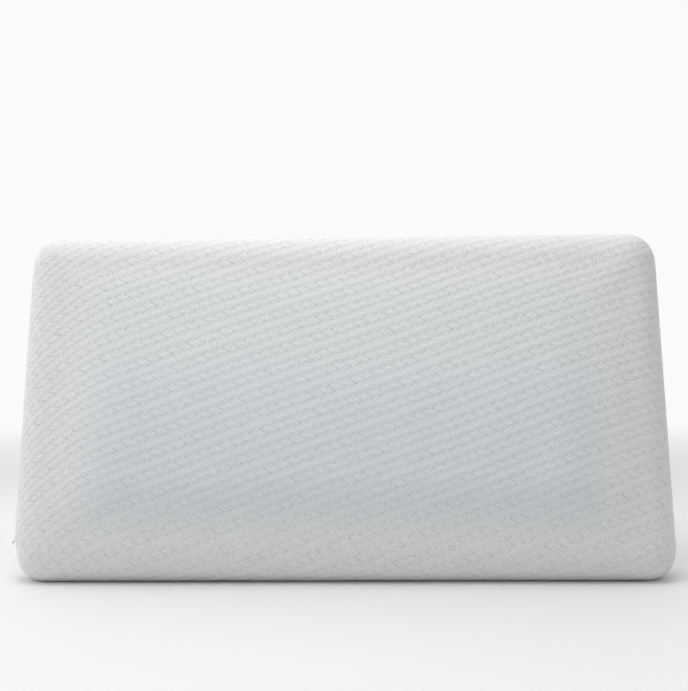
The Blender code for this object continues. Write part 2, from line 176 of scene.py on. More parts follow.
def closed_shell(name, outer, inner, outer_uv=None, inner_uv=None):
    """An object between two grids. inner may be coarser, by a whole number of steps to each of its own."""
    step = (outer.shape[1] - 1) // (inner.shape[1] - 1)
    numbers = np.arange(outer.shape[0] * outer.shape[1]).reshape(outer.shape[:2])
    inner_numbers = numbers.size + np.arange(inner.shape[0] * inner.shape[1]).reshape(inner.shape[:2])

    def quads(grid):
        around = (grid[:-1, :-1], grid[:-1, 1:], grid[1:, 1:], grid[1:, :-1])
        return np.stack(around, axis=-1).reshape(-1, 4)

    faces = quads(numbers).tolist() + quads(inner_numbers)[:, ::-1].tolist()
    fine, coarse = rim_loop(numbers).tolist(), rim_loop(inner_numbers).tolist()
    for k in range(len(coarse)):
        span = [fine[(k * step + i) % len(fine)] for i in range(step, -1, -1)]
        faces.append(span + [coarse[k], coarse[(k + 1) % len(coarse)]])
    points = np.concatenate((outer.reshape(-1, 3), inner.reshape(-1, 3)))
    middle_row, middle_column = outer.shape[0] // 2, outer.shape[1] // 2
    across = outer[middle_row, middle_column + 1] - outer[middle_row, middle_column]
    up = outer[middle_row + 1, middle_column] - outer[middle_row, middle_column]
    outward = outer[middle_row, middle_column] - inner[inner.shape[0] // 2, inner.shape[1] // 2]
    if np.dot(np.cross(across, up), outward) < 0:
        faces = [face[::-1] for face in faces]
    mesh = bpy.data.meshes.new(name)
    mesh.from_pydata(points.tolist(), [], faces)
    if outer_uv is not None:
        uv = np.concatenate((outer_uv.reshape(-1, 2), inner_uv.reshape(-1, 2)))
        corners = np.empty(len(mesh.loops), dtype=np.int32)
        mesh.loops.foreach_get("vertex_index", corners)
        mesh.uv_layers.new(name="cloth").data.foreach_set("uv", uv[corners].ravel())
    mesh.shade_smooth()
    mesh.set_sharp_from_angle(angle=math.radians(50))
    obj = bpy.data.objects.new(name, mesh)
    bpy.context.scene.collection.objects.link(obj)
    return obj


def node(tree, kind, inputs=(), output=0, **settings):
    """A node with its settings, and its first inputs as values or as other nodes' outputs."""
    made = tree.nodes.new(kind)
    for name, value in settings.items():
        setattr(made, name, value)
    for socket, value in zip(made.inputs, inputs):
        if isinstance(value, bpy.types.NodeSocket):
            tree.links.new(value, socket)
        elif value is not None:
            socket.default_value = value
    return made.outputs[output]


def sums(tree, operation, *inputs):
    return node(tree, "ShaderNodeMath", inputs, operation=operation)


def fade(tree, value, start, end):
    """0 at start and 1 at end, with an even swell between."""
    return node(tree, "ShaderNodeMapRange", (value, start, end, 0.0, 1.0), interpolation_type="SMOOTHSTEP")


def blend_colours(tree, share, first, second):
    mix = tree.nodes.new("ShaderNodeMix")
    mix.data_type = "RGBA"
    for socket, value in ((mix.inputs[0], share), (mix.inputs[6], first), (mix.inputs[7], second)):
        if isinstance(value, bpy.types.NodeSocket):
            tree.links.new(value, socket)
        else:
            socket.default_value = value
    return mix.outputs[2]


def finish(name, colour, roughness, metallic=0.0, sheen=0.0):
    """A material with a plain shader, its tree and the shader, ready for nodes."""
    material = bpy.data.materials.new(name)
    material.use_nodes = True
    tree = material.node_tree
    shader = tree.nodes["Principled BSDF"]
    shader.inputs["Base Color"].default_value = (*colour, 1)
    shader.inputs["Roughness"].default_value = roughness
    shader.inputs["Metallic"].default_value = metallic
    shader.inputs["Sheen Weight"].default_value = sheen
    return material, tree, shader


def raise_surface(tree, shader, height, distance, strength=1.0):
    """Feeds a height, in shares of a distance, to the shader's normal."""
    bump = tree.nodes.new("ShaderNodeBump")
    bump.inputs["Strength"].default_value = strength
    bump.inputs["Distance"].default_value = distance
    tree.links.new(height, bump.inputs["Height"])
    tree.links.new(bump.outputs["Normal"], shader.inputs["Normal"])


def object_place(tree):
    return tree.nodes.new("ShaderNodeTexCoord").outputs["Object"]


def foam_finish():
    """Open-cell foam, cream white, with a fine pitted skin, painted shade in its pits, and faint yellowing.
    """
    material, tree, shader = finish("foam_cells", (0.82, 0.80, 0.72), 0.95)
    cells = node(tree, "ShaderNodeTexVoronoi", (object_place(tree), None, 900.0))
    patches = node(tree, "ShaderNodeTexNoise", (object_place(tree), None, 9.0, 3.0))
    pits = fade(tree, cells, 0.1, 0.6)
    colour = blend_colours(tree, patches, (0.86, 0.84, 0.77, 1), (0.80, 0.77, 0.66, 1))
    # Painted shade: the colour darkens in the sunk pits of the skin.
    darker = blend_colours(tree, sums(tree, "MULTIPLY", pits, 0.35), colour, (0.62, 0.59, 0.50, 1))
    tree.links.new(darker, shader.inputs["Base Color"])
    raise_surface(tree, shader, pits, -0.0003)
    return material


def lay_out(inset, pitch):
    """Columns and rows for both faces, so that their rims meet."""
    return [spread(half, pitch, inset) for half in (LENGTH / 2, WIDTH / 2)]


def place_face(side, inset, rim, opens, layout, floor=None, extra=0.0):
    """One face of the form on a layout's columns and rows."""
    (_, x, share_x), (_, rise, share_rise) = layout
    return face_points(side, inset, rim, opens, (x, share_x), (rise + WIDTH / 2, share_rise), floor, extra)


core_layout = lay_out(CORE_INSET, CORE_PITCH)
(_, core_x, _), (_, core_rise, _) = core_layout
core_rise = core_rise + WIDTH / 2
WALL_RUN = 0.0005
in_length = smooth((GEL_HALF_LENGTH + 2 * GEL_GAP - np.abs(core_x)) / WALL_RUN)[None, :]
in_width = smooth((np.minimum(core_rise - ZIP_LOW, ZIP_HIGH - core_rise) + 2 * GEL_GAP) / WALL_RUN)[:, None]
recess = (GEL_THICKNESS + GEL_GAP) * in_length * in_width
foam_core = closed_shell(
    "foam_core_block",
    place_face(FRONT, CORE_INSET, COVER_SEAM_HALF, False, core_layout, extra=recess),
    place_face(BACK, CORE_INSET, COVER_SEAM_HALF, False, core_layout),
)
foam_core.data.materials.append(foam_finish())
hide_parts("foam_core")
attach(foam_core, "pillow")


# ---- Gel pad ----
# A cast sheet of cooling gel, 4 mm thick, is bonded into the recess. Its face is cast with rows of
# low round pads, so that it bends with the foam, and its edges are rounded by the mould.

GEL_PITCH = 0.0025
GEL_PAD_PITCH = 0.016
GEL_PAD_RISE = 0.0006
GEL_EDGE = 0.003


def gel_finish():
    """Soft blue gel, clouded by fine bubbles."""
    material, tree, shader = finish("cooling_gel_blue", (0.30, 0.56, 0.80), 0.32)
    shader.inputs["Subsurface Weight"].default_value = 0.25
    shader.inputs["Subsurface Radius"].default_value = (0.002, 0.004, 0.006)
    shader.inputs["Coat Weight"].default_value = 0.2
    clouds = node(tree, "ShaderNodeTexNoise", (object_place(tree), None, 24.0, 4.0))
    bubbles = node(tree, "ShaderNodeTexVoronoi", (object_place(tree), None, 420.0))
    colour = blend_colours(tree, clouds, (0.26, 0.52, 0.78, 1), (0.42, 0.66, 0.86, 1))
    specks = sums(tree, "MULTIPLY", fade(tree, bubbles, 0.22, 0.08), 0.5)
    tree.links.new(blend_colours(tree, specks, colour, (0.72, 0.86, 0.94, 1)), shader.inputs["Base Color"])
    raise_surface(tree, shader, clouds, 0.0004)
    return material


def gel_grid(inset, extra):
    """One face of the gel sheet. extra sinks it further in."""
    across = 2 * round(GEL_HALF_LENGTH / GEL_PITCH)
    up = 2 * round((ZIP_HIGH - ZIP_LOW) / 2 / GEL_PITCH)
    columns = np.linspace(-GEL_HALF_LENGTH, GEL_HALF_LENGTH, across + 1)
    rows = np.linspace(ZIP_LOW, ZIP_HIGH, up + 1)
    sunk = extra(columns[None, :], rows[:, None])
    places = (columns, np.zeros_like(columns)), (rows, np.zeros_like(rows))
    return face_points(FRONT, inset, COVER_SEAM_HALF, False, *places, CORE_INSET, sunk)


def gel_top(x, rise):
    """The cast face: round pads in a staggered grid, and a rounded edge."""
    pads = np.cos(2 * math.pi * x / GEL_PAD_PITCH) * np.cos(2 * math.pi * rise / GEL_PAD_PITCH)
    from_edge = np.minimum(GEL_HALF_LENGTH - np.abs(x), np.minimum(rise - ZIP_LOW, ZIP_HIGH - rise))
    edge = np.clip(1 - from_edge / GEL_EDGE, 0, 1)
    return GEL_PAD_RISE * smooth(0.5 - pads) + GEL_THICKNESS / 3 * (1 - np.sqrt(1 - edge**2))


gel_pad = closed_shell(
    "gel_pad_sheet",
    gel_grid(CORE_INSET, gel_top),
    gel_grid(CORE_INSET + GEL_THICKNESS, lambda x, rise: 0 * (x + rise)),
)
gel_pad.data.materials.append(gel_finish())
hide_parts("gel_pad")
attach(gel_pad, "pillow")


# ---- Liner ----
# A thin jersey liner is sewn round the foam and stays on when the cover is washed. It is two panels
# and a narrow overlocked seam at mid thickness, stretched smooth over the moulding.

LINER_PITCH = 0.0045
LINER_SEAM_HALF = 0.0010
LINER_WALE = 0.0016
LINER_COURSE = 0.0012


def fine_knit_group():
    """Plain knit: rows of small leaning loops, as their height and how deep a point lies between them."""
    tree = bpy.data.node_groups.new("fine_knit", "ShaderNodeTree")
    tree.interface.new_socket("Place", in_out="INPUT", socket_type="NodeSocketVector")
    tree.interface.new_socket("Wale", in_out="INPUT", socket_type="NodeSocketFloat")
    tree.interface.new_socket("Course", in_out="INPUT", socket_type="NodeSocketFloat")
    tree.interface.new_socket("Height", in_out="OUTPUT", socket_type="NodeSocketFloat")
    tree.interface.new_socket("Furrow", in_out="OUTPUT", socket_type="NodeSocketFloat")
    given = tree.nodes.new("NodeGroupInput").outputs
    place = node(tree, "ShaderNodeSeparateXYZ", (given["Place"],))
    across = sums(tree, "DIVIDE", place, given["Wale"])
    up = sums(tree, "DIVIDE", place.node.outputs["Y"], given["Course"])
    wale = sums(tree, "ABSOLUTE", sums(tree, "SINE", sums(tree, "MULTIPLY", across, math.pi)))
    leaning = sums(tree, "ADD", up, sums(tree, "MULTIPLY", wale, 0.5))
    loops = sums(tree, "SINE", sums(tree, "MULTIPLY", leaning, 2 * math.pi))
    rounded = sums(tree, "POWER", wale, 0.6)
    height = sums(tree, "ADD", rounded, sums(tree, "MULTIPLY", sums(tree, "MULTIPLY", loops, rounded), 0.3))
    furrow = fade(tree, wale, 0.45, 0.0)
    result = tree.nodes.new("NodeGroupOutput")
    tree.links.new(height, result.inputs["Height"])
    tree.links.new(furrow, result.inputs["Furrow"])
    return tree


fine_knit = fine_knit_group()


def use_group(tree, group, **inputs):
    """A node group placed in a material, with its inputs by name."""
    made = tree.nodes.new("ShaderNodeGroup")
    made.node_tree = group
    for name, value in inputs.items():
        socket = made.inputs[name.replace("_", " ")]
        if isinstance(value, bpy.types.NodeSocket):
            tree.links.new(value, socket)
        else:
            socket.default_value = value
    return made.outputs


def cloth_place(tree):
    return node(tree, "ShaderNodeUVMap", uv_map="cloth")


def jersey_finish():
    material, tree, shader = finish("liner_jersey_knit", (0.84, 0.84, 0.82), 0.9, sheen=0.15)
    knit = use_group(tree, fine_knit, Place=cloth_place(tree), Wale=LINER_WALE, Course=LINER_COURSE)
    patches = node(tree, "ShaderNodeTexNoise", (object_place(tree), None, 30.0, 2.0))
    colour = blend_colours(tree, patches, (0.87, 0.87, 0.85, 1), (0.81, 0.81, 0.79, 1))
    # Painted shade: the colour darkens in the furrows between wales.
    shaded = blend_colours(tree, sums(tree, "MULTIPLY", knit["Furrow"], 0.5), colour, (0.60, 0.60, 0.58, 1))
    tree.links.new(shaded, shader.inputs["Base Color"])
    raise_surface(tree, shader, knit["Height"], 0.0002)
    return material


END_PULL = 3.0  # how fast the rows climb, in 1/m, where the zip's sewing pulls the cloth's end down
END_PULL_FROM = 0.24


def cloth_map(layout, mirror=1):
    """The flat cloth's own coordinates in metres, with the slow drift that stretching gives it."""
    (u, _, _), (v, _, _) = layout
    u, v = np.meshgrid(u, v)
    drift_u = 0.0026 * np.sin(7.3 * v + 4.1 * u) + 0.0012 * np.sin(23.0 * v - 9.0 * u + 1.0)
    drift_v = 0.0022 * np.sin(5.2 * u - 6.0 * v + 0.6) + 0.0010 * np.sin(19.0 * u + 11.0 * v)
    drift_v = drift_v + END_PULL * np.maximum(-END_PULL_FROM - u, 0) ** 2
    return np.stack((mirror * u + drift_u, v + drift_v), axis=-1)


jersey = jersey_finish()
layout = lay_out(LINER_INSET, LINER_PITCH)
for side, word in ((FRONT, "front"), (BACK, "back")):
    panel = closed_shell(
        f"liner_{word}_jersey",
        place_face(side, LINER_INSET, LINER_SEAM_HALF, False, layout),
        place_face(side, LINER_INSET + LINER_WALL, LINER_SEAM_HALF, False, layout),
        cloth_map(layout, side * FRONT),
        cloth_map(layout, side * FRONT),
    )
    panel.data.materials.append(jersey)
    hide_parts(f"liner_{word}_panel")
    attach(panel, "pillow")


def rim_line(inset, pitch, floor, depth=0.0):
    """The seam line round the form, at a distance in from the cover, and at a depth from mid thickness."""
    (_, x, share_x), (_, rise, share_rise) = lay_out(inset, pitch)
    face = face_points(FRONT, inset, -depth, False, (x, share_x), (rise + WIDTH / 2, share_rise), floor)
    return rim_loop(face)


def thread_finish(name, colour):
    """Spun thread with its twist, its tone darker and lighter at random in fine streaks."""
    material, tree, shader = finish(name, colour, 0.75, sheen=0.3)
    fibres = node(tree, "ShaderNodeTexNoise", (object_place(tree), None, 2400.0, 3.0))
    dark = (*(0.82 * c for c in colour), 1)
    light = (*(min(1, 1.06 * c) for c in colour), 1)
    shaded = blend_colours(tree, fibres, dark, light)
    tree.links.new(shaded, shader.inputs["Base Color"])
    raise_surface(tree, shader, fibres, 0.0001)
    return material


def seam_strip(name, outer_inset, inner_inset, half_width, floors, pitch, keep=None):
    """The joined cloth edges of a seam, as a rounded strip that runs round the form."""
    turns = 8
    rings = []
    for i in range(turns):
        angle = 2 * math.pi * i / turns
        inset = (outer_inset + inner_inset) / 2 - (inner_inset - outer_inset) / 2 * math.cos(angle)
        floor = floors[0] + (floors[1] - floors[0]) * (1 - math.cos(angle)) / 2
        rings.append(rim_line(inset, pitch, floor, half_width * math.sin(angle)))
    grid = np.stack(rings, axis=1)
    closed = keep is None
    if not closed:
        grid = grid[keep(grid)]
    bm = bmesh.new()
    verts = [[bm.verts.new(point) for point in ring] for ring in grid.tolist()]
    following = verts[1:] + (verts[:1] if closed else [])
    for ring, after in zip(verts, following):
        for i in range(turns):
            bm.faces.new((ring[i - 1], ring[i], after[i], after[i - 1]))
    if not closed:
        bm.faces.new(verts[0])
        bm.faces.new(reversed(verts[-1]))
    bmesh.ops.recalc_face_normals(bm, faces=bm.faces)
    mesh = bpy.data.meshes.new(name)
    bm.to_mesh(mesh)
    bm.free()
    mesh.shade_smooth()
    obj = bpy.data.objects.new(name, mesh)
    bpy.context.scene.collection.objects.link(obj)
    return obj


LINER_SEAM_PITCH = 0.004
liner_thread = thread_finish("liner_thread", (0.80, 0.80, 0.78))
liner_inner = LINER_INSET + LINER_WALL
liner_seam = seam_strip(
    "liner_seam_overlock",
    LINER_INSET,
    liner_inner,
    LINER_SEAM_HALF - CLEARANCE,
    (LINER_INSET, liner_inner),
    LINER_SEAM_PITCH,
)
liner_seam.data.materials.append(liner_thread)
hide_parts("liner_seam")
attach(liner_seam, "pillow")


# ---- Cover panels ----
# The removable cover is a front and a back panel of white jacquard double knit, stretched over the
# moulding. Slanting raised ribs run over it, crossed by fainter ridges, and a tucked zigzag lies in
# each cell, which is two ribs wide. The blue gel pad shows faintly through the front.

COVER_PITCH = 0.0013
LINING_STEPS = 4
RIB_STEP = Vector((0.0111, 0.0041))
CELL_STEP = Vector((0.0063, -0.0183))
ZIGZAG = ((0.80, 0.21), (0.20, 0.27), (0.80, 0.69), (0.24, 0.74))
STROKE_DEPTHS = (0.75, 0.9, 0.7)
STROKE_HALF_WIDTH = 0.0017
RIBS_PER_CELL = 2
RIB_HALF_WIDTH = 0.0030
LINK_HALF_WIDTH = 0.0022
RIB_RISE = 0.00016
LINK_RISE = 0.00006
STROKE_SINK = 0.00026
COVER_WALE = 0.0023
COVER_COURSE = 0.0015
EDGE_TUCK = 0.0006
EDGE_TUCK_RUN = 0.0030

cell_area = RIB_STEP.x * CELL_STEP.y - RIB_STEP.y * CELL_STEP.x
ALONG_RIB = (CELL_STEP.y / cell_area, -CELL_STEP.x / cell_area)
ACROSS_RIBS = (-RIB_STEP.y / cell_area, RIB_STEP.x / cell_area)
RIB_SPACING = 1 / math.hypot(*ACROSS_RIBS) / RIBS_PER_CELL
LINK_SPACING = 1 / math.hypot(*ALONG_RIB)
corners = [RIB_STEP * i + CELL_STEP * j for i, j in ZIGZAG]
STROKES = list(zip(corners, corners[1:], STROKE_DEPTHS))


def knit_relief(cloth):
    """How far the jacquard stands out of the cloth, in metres."""
    u, v = cloth[..., 0], cloth[..., 1]
    i = ALONG_RIB[0] * u + ALONG_RIB[1] * v
    j = ACROSS_RIBS[0] * u + ACROSS_RIBS[1] * v
    from_rib = np.abs((RIBS_PER_CELL * j + 0.5) % 1 - 0.5) * RIB_SPACING
    from_link = np.abs((i + 0.5) % 1 - 0.5) * LINK_SPACING
    raised = RIB_RISE * smooth(1 - from_rib / RIB_HALF_WIDTH)
    raised = raised + LINK_RISE * smooth(1 - from_link / LINK_HALF_WIDTH)
    in_cell = np.stack([RIB_STEP[k] * (i % 1) + CELL_STEP[k] * (j % 1) for k in (0, 1)], axis=-1)
    sunk = np.zeros_like(u)
    for start, end, depth in STROKES:
        line = np.array(end - start)
        offset = in_cell - np.array(start)
        share = np.clip(offset @ line / (line @ line), 0, 1)
        away = np.linalg.norm(offset - share[..., None] * line, axis=-1)
        sunk = np.maximum(sunk, depth * smooth(1 - away / STROKE_HALF_WIDTH))
    return raised - STROKE_SINK * sunk


def jacquard_group():
    """The same ribs, ridges and zigzags as masks from 0 to 1, for painted highlight and shade in the colour
    and for crisp relief.
    """
    tree = bpy.data.node_groups.new("jacquard", "ShaderNodeTree")
    tree.interface.new_socket("Place", in_out="INPUT", socket_type="NodeSocketVector")
    for name in ("Rib", "Link", "Stroke"):
        tree.interface.new_socket(name, in_out="OUTPUT", socket_type="NodeSocketFloat")
    place = tree.nodes.new("NodeGroupInput").outputs["Place"]

    def vectors(operation, *inputs, output=0):
        return node(tree, "ShaderNodeVectorMath", inputs, output=output, operation=operation)

    def masks(distance, half_width):
        return fade(tree, distance, half_width, 0.0)

    i = vectors("DOT_PRODUCT", place, (*ALONG_RIB, 0), output="Value")
    j = vectors("DOT_PRODUCT", place, (*ACROSS_RIBS, 0), output="Value")
    in_ribs = sums(tree, "PINGPONG", sums(tree, "MULTIPLY", j, RIBS_PER_CELL), 0.5)
    from_rib = sums(tree, "MULTIPLY", in_ribs, RIB_SPACING)
    from_link = sums(tree, "MULTIPLY", sums(tree, "PINGPONG", i, 0.5), LINK_SPACING)
    parts = []
    for step, number in ((RIB_STEP, i), (CELL_STEP, j)):
        scaled = tree.nodes.new("ShaderNodeVectorMath")
        scaled.operation = "SCALE"
        scaled.inputs[0].default_value = (*step, 0)
        tree.links.new(sums(tree, "FLOORED_MODULO", number, 1.0), scaled.inputs["Scale"])
        parts.append(scaled.outputs[0])
    in_cell = vectors("ADD", *parts)
    stroke = None
    for start, end, depth in STROKES:
        line = end - start
        offset = vectors("SUBTRACT", in_cell, (*start, 0))
        along = vectors("DOT_PRODUCT", offset, (*(line / line.length_squared), 0), output="Value")
        share = node(tree, "ShaderNodeClamp", (along, 0.0, 1.0))
        nearest = tree.nodes.new("ShaderNodeVectorMath")
        nearest.operation = "SCALE"
        nearest.inputs[0].default_value = (*line, 0)
        tree.links.new(share, nearest.inputs["Scale"])
        away = vectors("LENGTH", vectors("SUBTRACT", offset, nearest.outputs[0]), output="Value")
        mask = sums(tree, "MULTIPLY", masks(away, STROKE_HALF_WIDTH), depth)
        stroke = mask if stroke is None else sums(tree, "MAXIMUM", stroke, mask)
    result = tree.nodes.new("NodeGroupOutput")
    tree.links.new(masks(from_rib, RIB_HALF_WIDTH), result.inputs["Rib"])
    tree.links.new(masks(from_link, LINK_HALF_WIDTH), result.inputs["Link"])
    tree.links.new(stroke, result.inputs["Stroke"])
    return tree


jacquard = jacquard_group()

GEL_GLOW_HALF_LENGTH = 0.285
GEL_GLOW_FADE = 0.045
GEL_GLOW_LOW = -0.150
GEL_GLOW_HIGH = 0.165
KNIT_WHITE = (0.84, 0.845, 0.84)
GEL_BLUE = (0.745, 0.82, 0.85)


def gel_glow(tree, place):
    """Where the pad lies under the cloth, from 0 to 1, and stronger where the knit is tightest."""
    at = node(tree, "ShaderNodeSeparateXYZ", (place,))
    from_middle, up = sums(tree, "ABSOLUTE", at), at.node.outputs["Y"]
    ends = fade(tree, from_middle, GEL_GLOW_HALF_LENGTH, GEL_GLOW_HALF_LENGTH - GEL_GLOW_FADE)
    lower = fade(tree, up, GEL_GLOW_LOW, GEL_GLOW_LOW + GEL_GLOW_FADE)
    upper = fade(tree, up, GEL_GLOW_HIGH, GEL_GLOW_HIGH - 2 * GEL_GLOW_FADE)
    tight = node(tree, "ShaderNodeMapRange", (up, -0.01, 0.06, 1.0, 0.45), interpolation_type="SMOOTHSTEP")
    patches = node(tree, "ShaderNodeTexNoise", (place, None, 16.0, 2.0))
    uneven = node(tree, "ShaderNodeMapRange", (patches, 0.3, 0.7, 0.75, 1.0))
    shown = sums(tree, "MULTIPLY", ends, lower)
    shown = sums(tree, "MULTIPLY", shown, sums(tree, "MULTIPLY", upper, tight))
    return sums(tree, "MULTIPLY", shown, uneven)


def cover_finish(name, over_gel):
    material, tree, shader = finish(name, KNIT_WHITE, 0.92, sheen=0.12)
    shader.inputs["Sheen Roughness"].default_value = 0.6
    place = cloth_place(tree)
    pattern = use_group(tree, jacquard, Place=place)
    knit = use_group(tree, fine_knit, Place=place, Wale=COVER_WALE, Course=COVER_COURSE)
    cloud = node(tree, "ShaderNodeTexNoise", (place, None, 22.0, 3.0))
    fibres = node(tree, "ShaderNodeTexNoise", (place, None, 620.0, 2.0))
    specks = node(tree, "ShaderNodeTexNoise", (place, None, 1100.0, 1.0))
    colour = blend_colours(tree, cloud, (0.87, 0.875, 0.87, 1), (0.905, 0.91, 0.905, 1))
    if over_gel:
        colour = blend_colours(tree, gel_glow(tree, place), colour, (*GEL_BLUE, 1))
    # Painted highlight: the colour is lighter along the raised ribs.
    colour = blend_colours(tree, sums(tree, "MULTIPLY", pattern["Rib"], 0.25), colour, (0.90, 0.91, 0.91, 1))
    # Painted shade: the colour darkens in the sunk zigzag strokes, broken into ticks by the wale furrows,
    # fibre noise and larger noise patches.
    ticks = sums(tree, "ADD", sums(tree, "MULTIPLY", knit["Furrow"], 0.6), fade(tree, fibres, 0.35, 0.65))
    broken = fade(tree, node(tree, "ShaderNodeTexNoise", (place, None, 130.0, 1.0)), 0.3, 0.6)
    deep = sums(tree, "MULTIPLY", sums(tree, "MULTIPLY", pattern["Stroke"], ticks), broken)
    colour = blend_colours(tree, sums(tree, "MULTIPLY", deep, 0.85), colour, (0.50, 0.53, 0.55, 1))
    # Painted shade: the colour darkens in the furrows between wales, broken up by fibre noise.
    wale_furrow_shade = sums(tree, "MULTIPLY", knit["Furrow"], fade(tree, fibres, 0.35, 0.65))
    colour = blend_colours(tree, sums(tree, "MULTIPLY", wale_furrow_shade, 0.75), colour, (0.55, 0.57, 0.59, 1))
    coarse = sums(tree, "MULTIPLY", fade(tree, fibres, 0.5, 0.75), 0.5)
    gaps = sums(tree, "ADD", fade(tree, specks, 0.42, 0.72), coarse)
    colour = blend_colours(tree, gaps, colour, (0.60, 0.62, 0.63, 1))
    tree.links.new(colour, shader.inputs["Base Color"])
    sunk = sums(tree, "MULTIPLY", pattern["Stroke"], -0.4)
    links = sums(tree, "MULTIPLY", pattern["Link"], 0.12)
    raised = sums(tree, "ADD", sums(tree, "MULTIPLY", pattern["Rib"], 0.2), links)
    loops = sums(tree, "MULTIPLY", knit["Height"], 0.35)
    raise_surface(tree, shader, sums(tree, "ADD", sums(tree, "ADD", sunk, raised), loops), 0.0005)
    return material


def outward(grid, side):
    """Unit normals of a grid of points."""
    normal = np.cross(np.gradient(grid, axis=1), np.gradient(grid, axis=0)) * -side
    return normal / np.maximum(np.linalg.norm(normal, axis=-1, keepdims=True), 1e-12)


FILL_INSET = 0.0016
FILL_PITCH = 0.0060
FILL_VOXEL = 0.0060
FILL_FRAMES = 20
FILL_PRESSURE = 4.0
FILL_LIMIT = 0.0022
FILL_INWARDS = 0.3
SEAM_HOLD = 0.006
BASE_HOLD = 0.004
SETTLE_PITCH = 0.0100


def settled_cloth():
    """How the cover settles on its filling, as a tree of places and how far the cloth moved at each.

    The closed form is remeshed, made cloth under a little pressure and held along its seam and its base.
    """
    layout = lay_out(FILL_INSET, FILL_PITCH)
    faces = [place_face(side, FILL_INSET, COVER_SEAM_HALF, False, layout) for side in (FRONT, BACK)]
    bag = closed_shell("filled_cover", *faces)
    remesh = bag.modifiers.new("even_faces", "REMESH")
    remesh.mode = "VOXEL"
    remesh.voxel_size = FILL_VOXEL
    evaluated = bag.evaluated_get(bpy.context.evaluated_depsgraph_get())
    bag.data = bpy.data.meshes.new_from_object(evaluated)
    bag.modifiers.clear()
    count = len(bag.data.vertices)
    before = np.empty(count * 3)
    bag.data.vertices.foreach_get("co", before)
    before = before.reshape(-1, 3)
    depth = (before - np.array((0, CENTRE_Y, -SINK))) @ np.array(THROUGH_THE_LEAN)
    held = np.flatnonzero((np.abs(depth) < SEAM_HOLD) | (before[:, 2] < BASE_HOLD))
    pins = bag.vertex_groups.new(name="held")
    pins.add(held.tolist(), 1.0, "REPLACE")
    cloth = bag.modifiers.new("knit", "CLOTH")
    cloth.settings.quality = 4
    cloth.settings.vertex_group_mass = "held"
    cloth.settings.use_pressure = True
    cloth.settings.uniform_pressure_force = FILL_PRESSURE
    cloth.settings.tension_stiffness = 12
    cloth.settings.compression_stiffness = 12
    cloth.settings.effector_weights.gravity = 0
    cloth.collision_settings.use_collision = False
    cloth.point_cache.frame_end = FILL_FRAMES
    for number in range(1, FILL_FRAMES + 1):
        bpy.context.scene.frame_set(number)
    after = np.empty(count * 3)
    bag.evaluated_get(bpy.context.evaluated_depsgraph_get()).data.vertices.foreach_get("co", after)
    moved = after.reshape(-1, 3) - before
    far = np.linalg.norm(moved, axis=1, keepdims=True)
    moved = moved * FILL_LIMIT * np.tanh(far / FILL_LIMIT) / np.maximum(far, 1e-9)
    tree = kdtree.KDTree(count)
    for i, point in enumerate(before.tolist()):
        tree.insert(point, i)
    tree.balance()
    bpy.data.objects.remove(bag, do_unlink=True)
    bpy.context.scene.frame_set(1)
    return tree, moved


def softened(values, axis, reach):
    """Values averaged along one axis over a bell of this reach, with their ends held."""
    bell = np.hanning(2 * reach + 3)[1:-1]
    bell /= bell.sum()
    padding = [(0, 0)] * values.ndim
    padding[axis] = (reach, reach)
    padded = np.pad(values, padding, mode="edge")
    count = values.shape[axis]
    return sum(weight * np.take(padded, np.arange(k, k + count), axis) for k, weight in enumerate(bell))


def settle(side, layout):
    """How far the settled cloth stands from the plain form, at each point of a layout."""
    tree, moved = settled
    coarse = lay_out(0.0, SETTLE_PITCH)
    points = place_face(side, 0.0, COVER_SEAM_HALF, False, coarse)
    shift = np.zeros_like(points)
    for index in np.ndindex(points.shape[:2]):
        near = tree.find_n(points[index].tolist(), 6)
        weights = np.array([1 / (distance + 0.001) for _, _, distance in near])
        shift[index] = weights @ moved[[number for _, number, _ in near]] / weights.sum()
    normals = outward(points, side)
    inwards = np.maximum(-np.sum(shift * normals, axis=-1, keepdims=True), 0)
    shift = shift + normals * inwards * (1 - FILL_INWARDS)
    for axis, direction in ((1, 0), (0, 1)):
        from_places, to_places = coarse[direction][0], layout[direction][0]
        at = np.interp(to_places, from_places, np.arange(len(from_places)))
        low = np.minimum(at.astype(int), len(from_places) - 2)
        share = (at - low).reshape((1, -1, 1) if axis == 1 else (-1, 1, 1))
        shift = np.take(shift, low, axis) * (1 - share) + np.take(shift, low + 1, axis) * share
        shift = softened(shift, axis, round(SETTLE_PITCH * 1.5 / (to_places[1] - to_places[0])))
    return shift


settled = settled_cloth()


LIP_HEIGHT = 0.0014
LIP_RUN = 0.0160
LIP_LOWEST = 0.56  # of LIP_HEIGHT
LIP_WAVE = 31.0
LIP_DRIFT = 77.0


def under_edge(points):
    """How high the cloth stays off the table under the front edge, which is stiffer than the rest."""
    touches = points[..., 2] < LIP_HEIGHT
    front = np.min(np.where(touches, points[..., 1], 1.0), axis=0, keepdims=True)
    behind = (points[..., 1] - front) / LIP_RUN
    x = points[..., 0]
    wave = 0.5 + 0.5 * np.sin(LIP_WAVE * x + 1.3 * np.sin(LIP_DRIFT * x))
    height = LIP_HEIGHT * (LIP_LOWEST + (1 - LIP_LOWEST) * wave)
    return height * smooth(2.0 - 2.0 * behind)


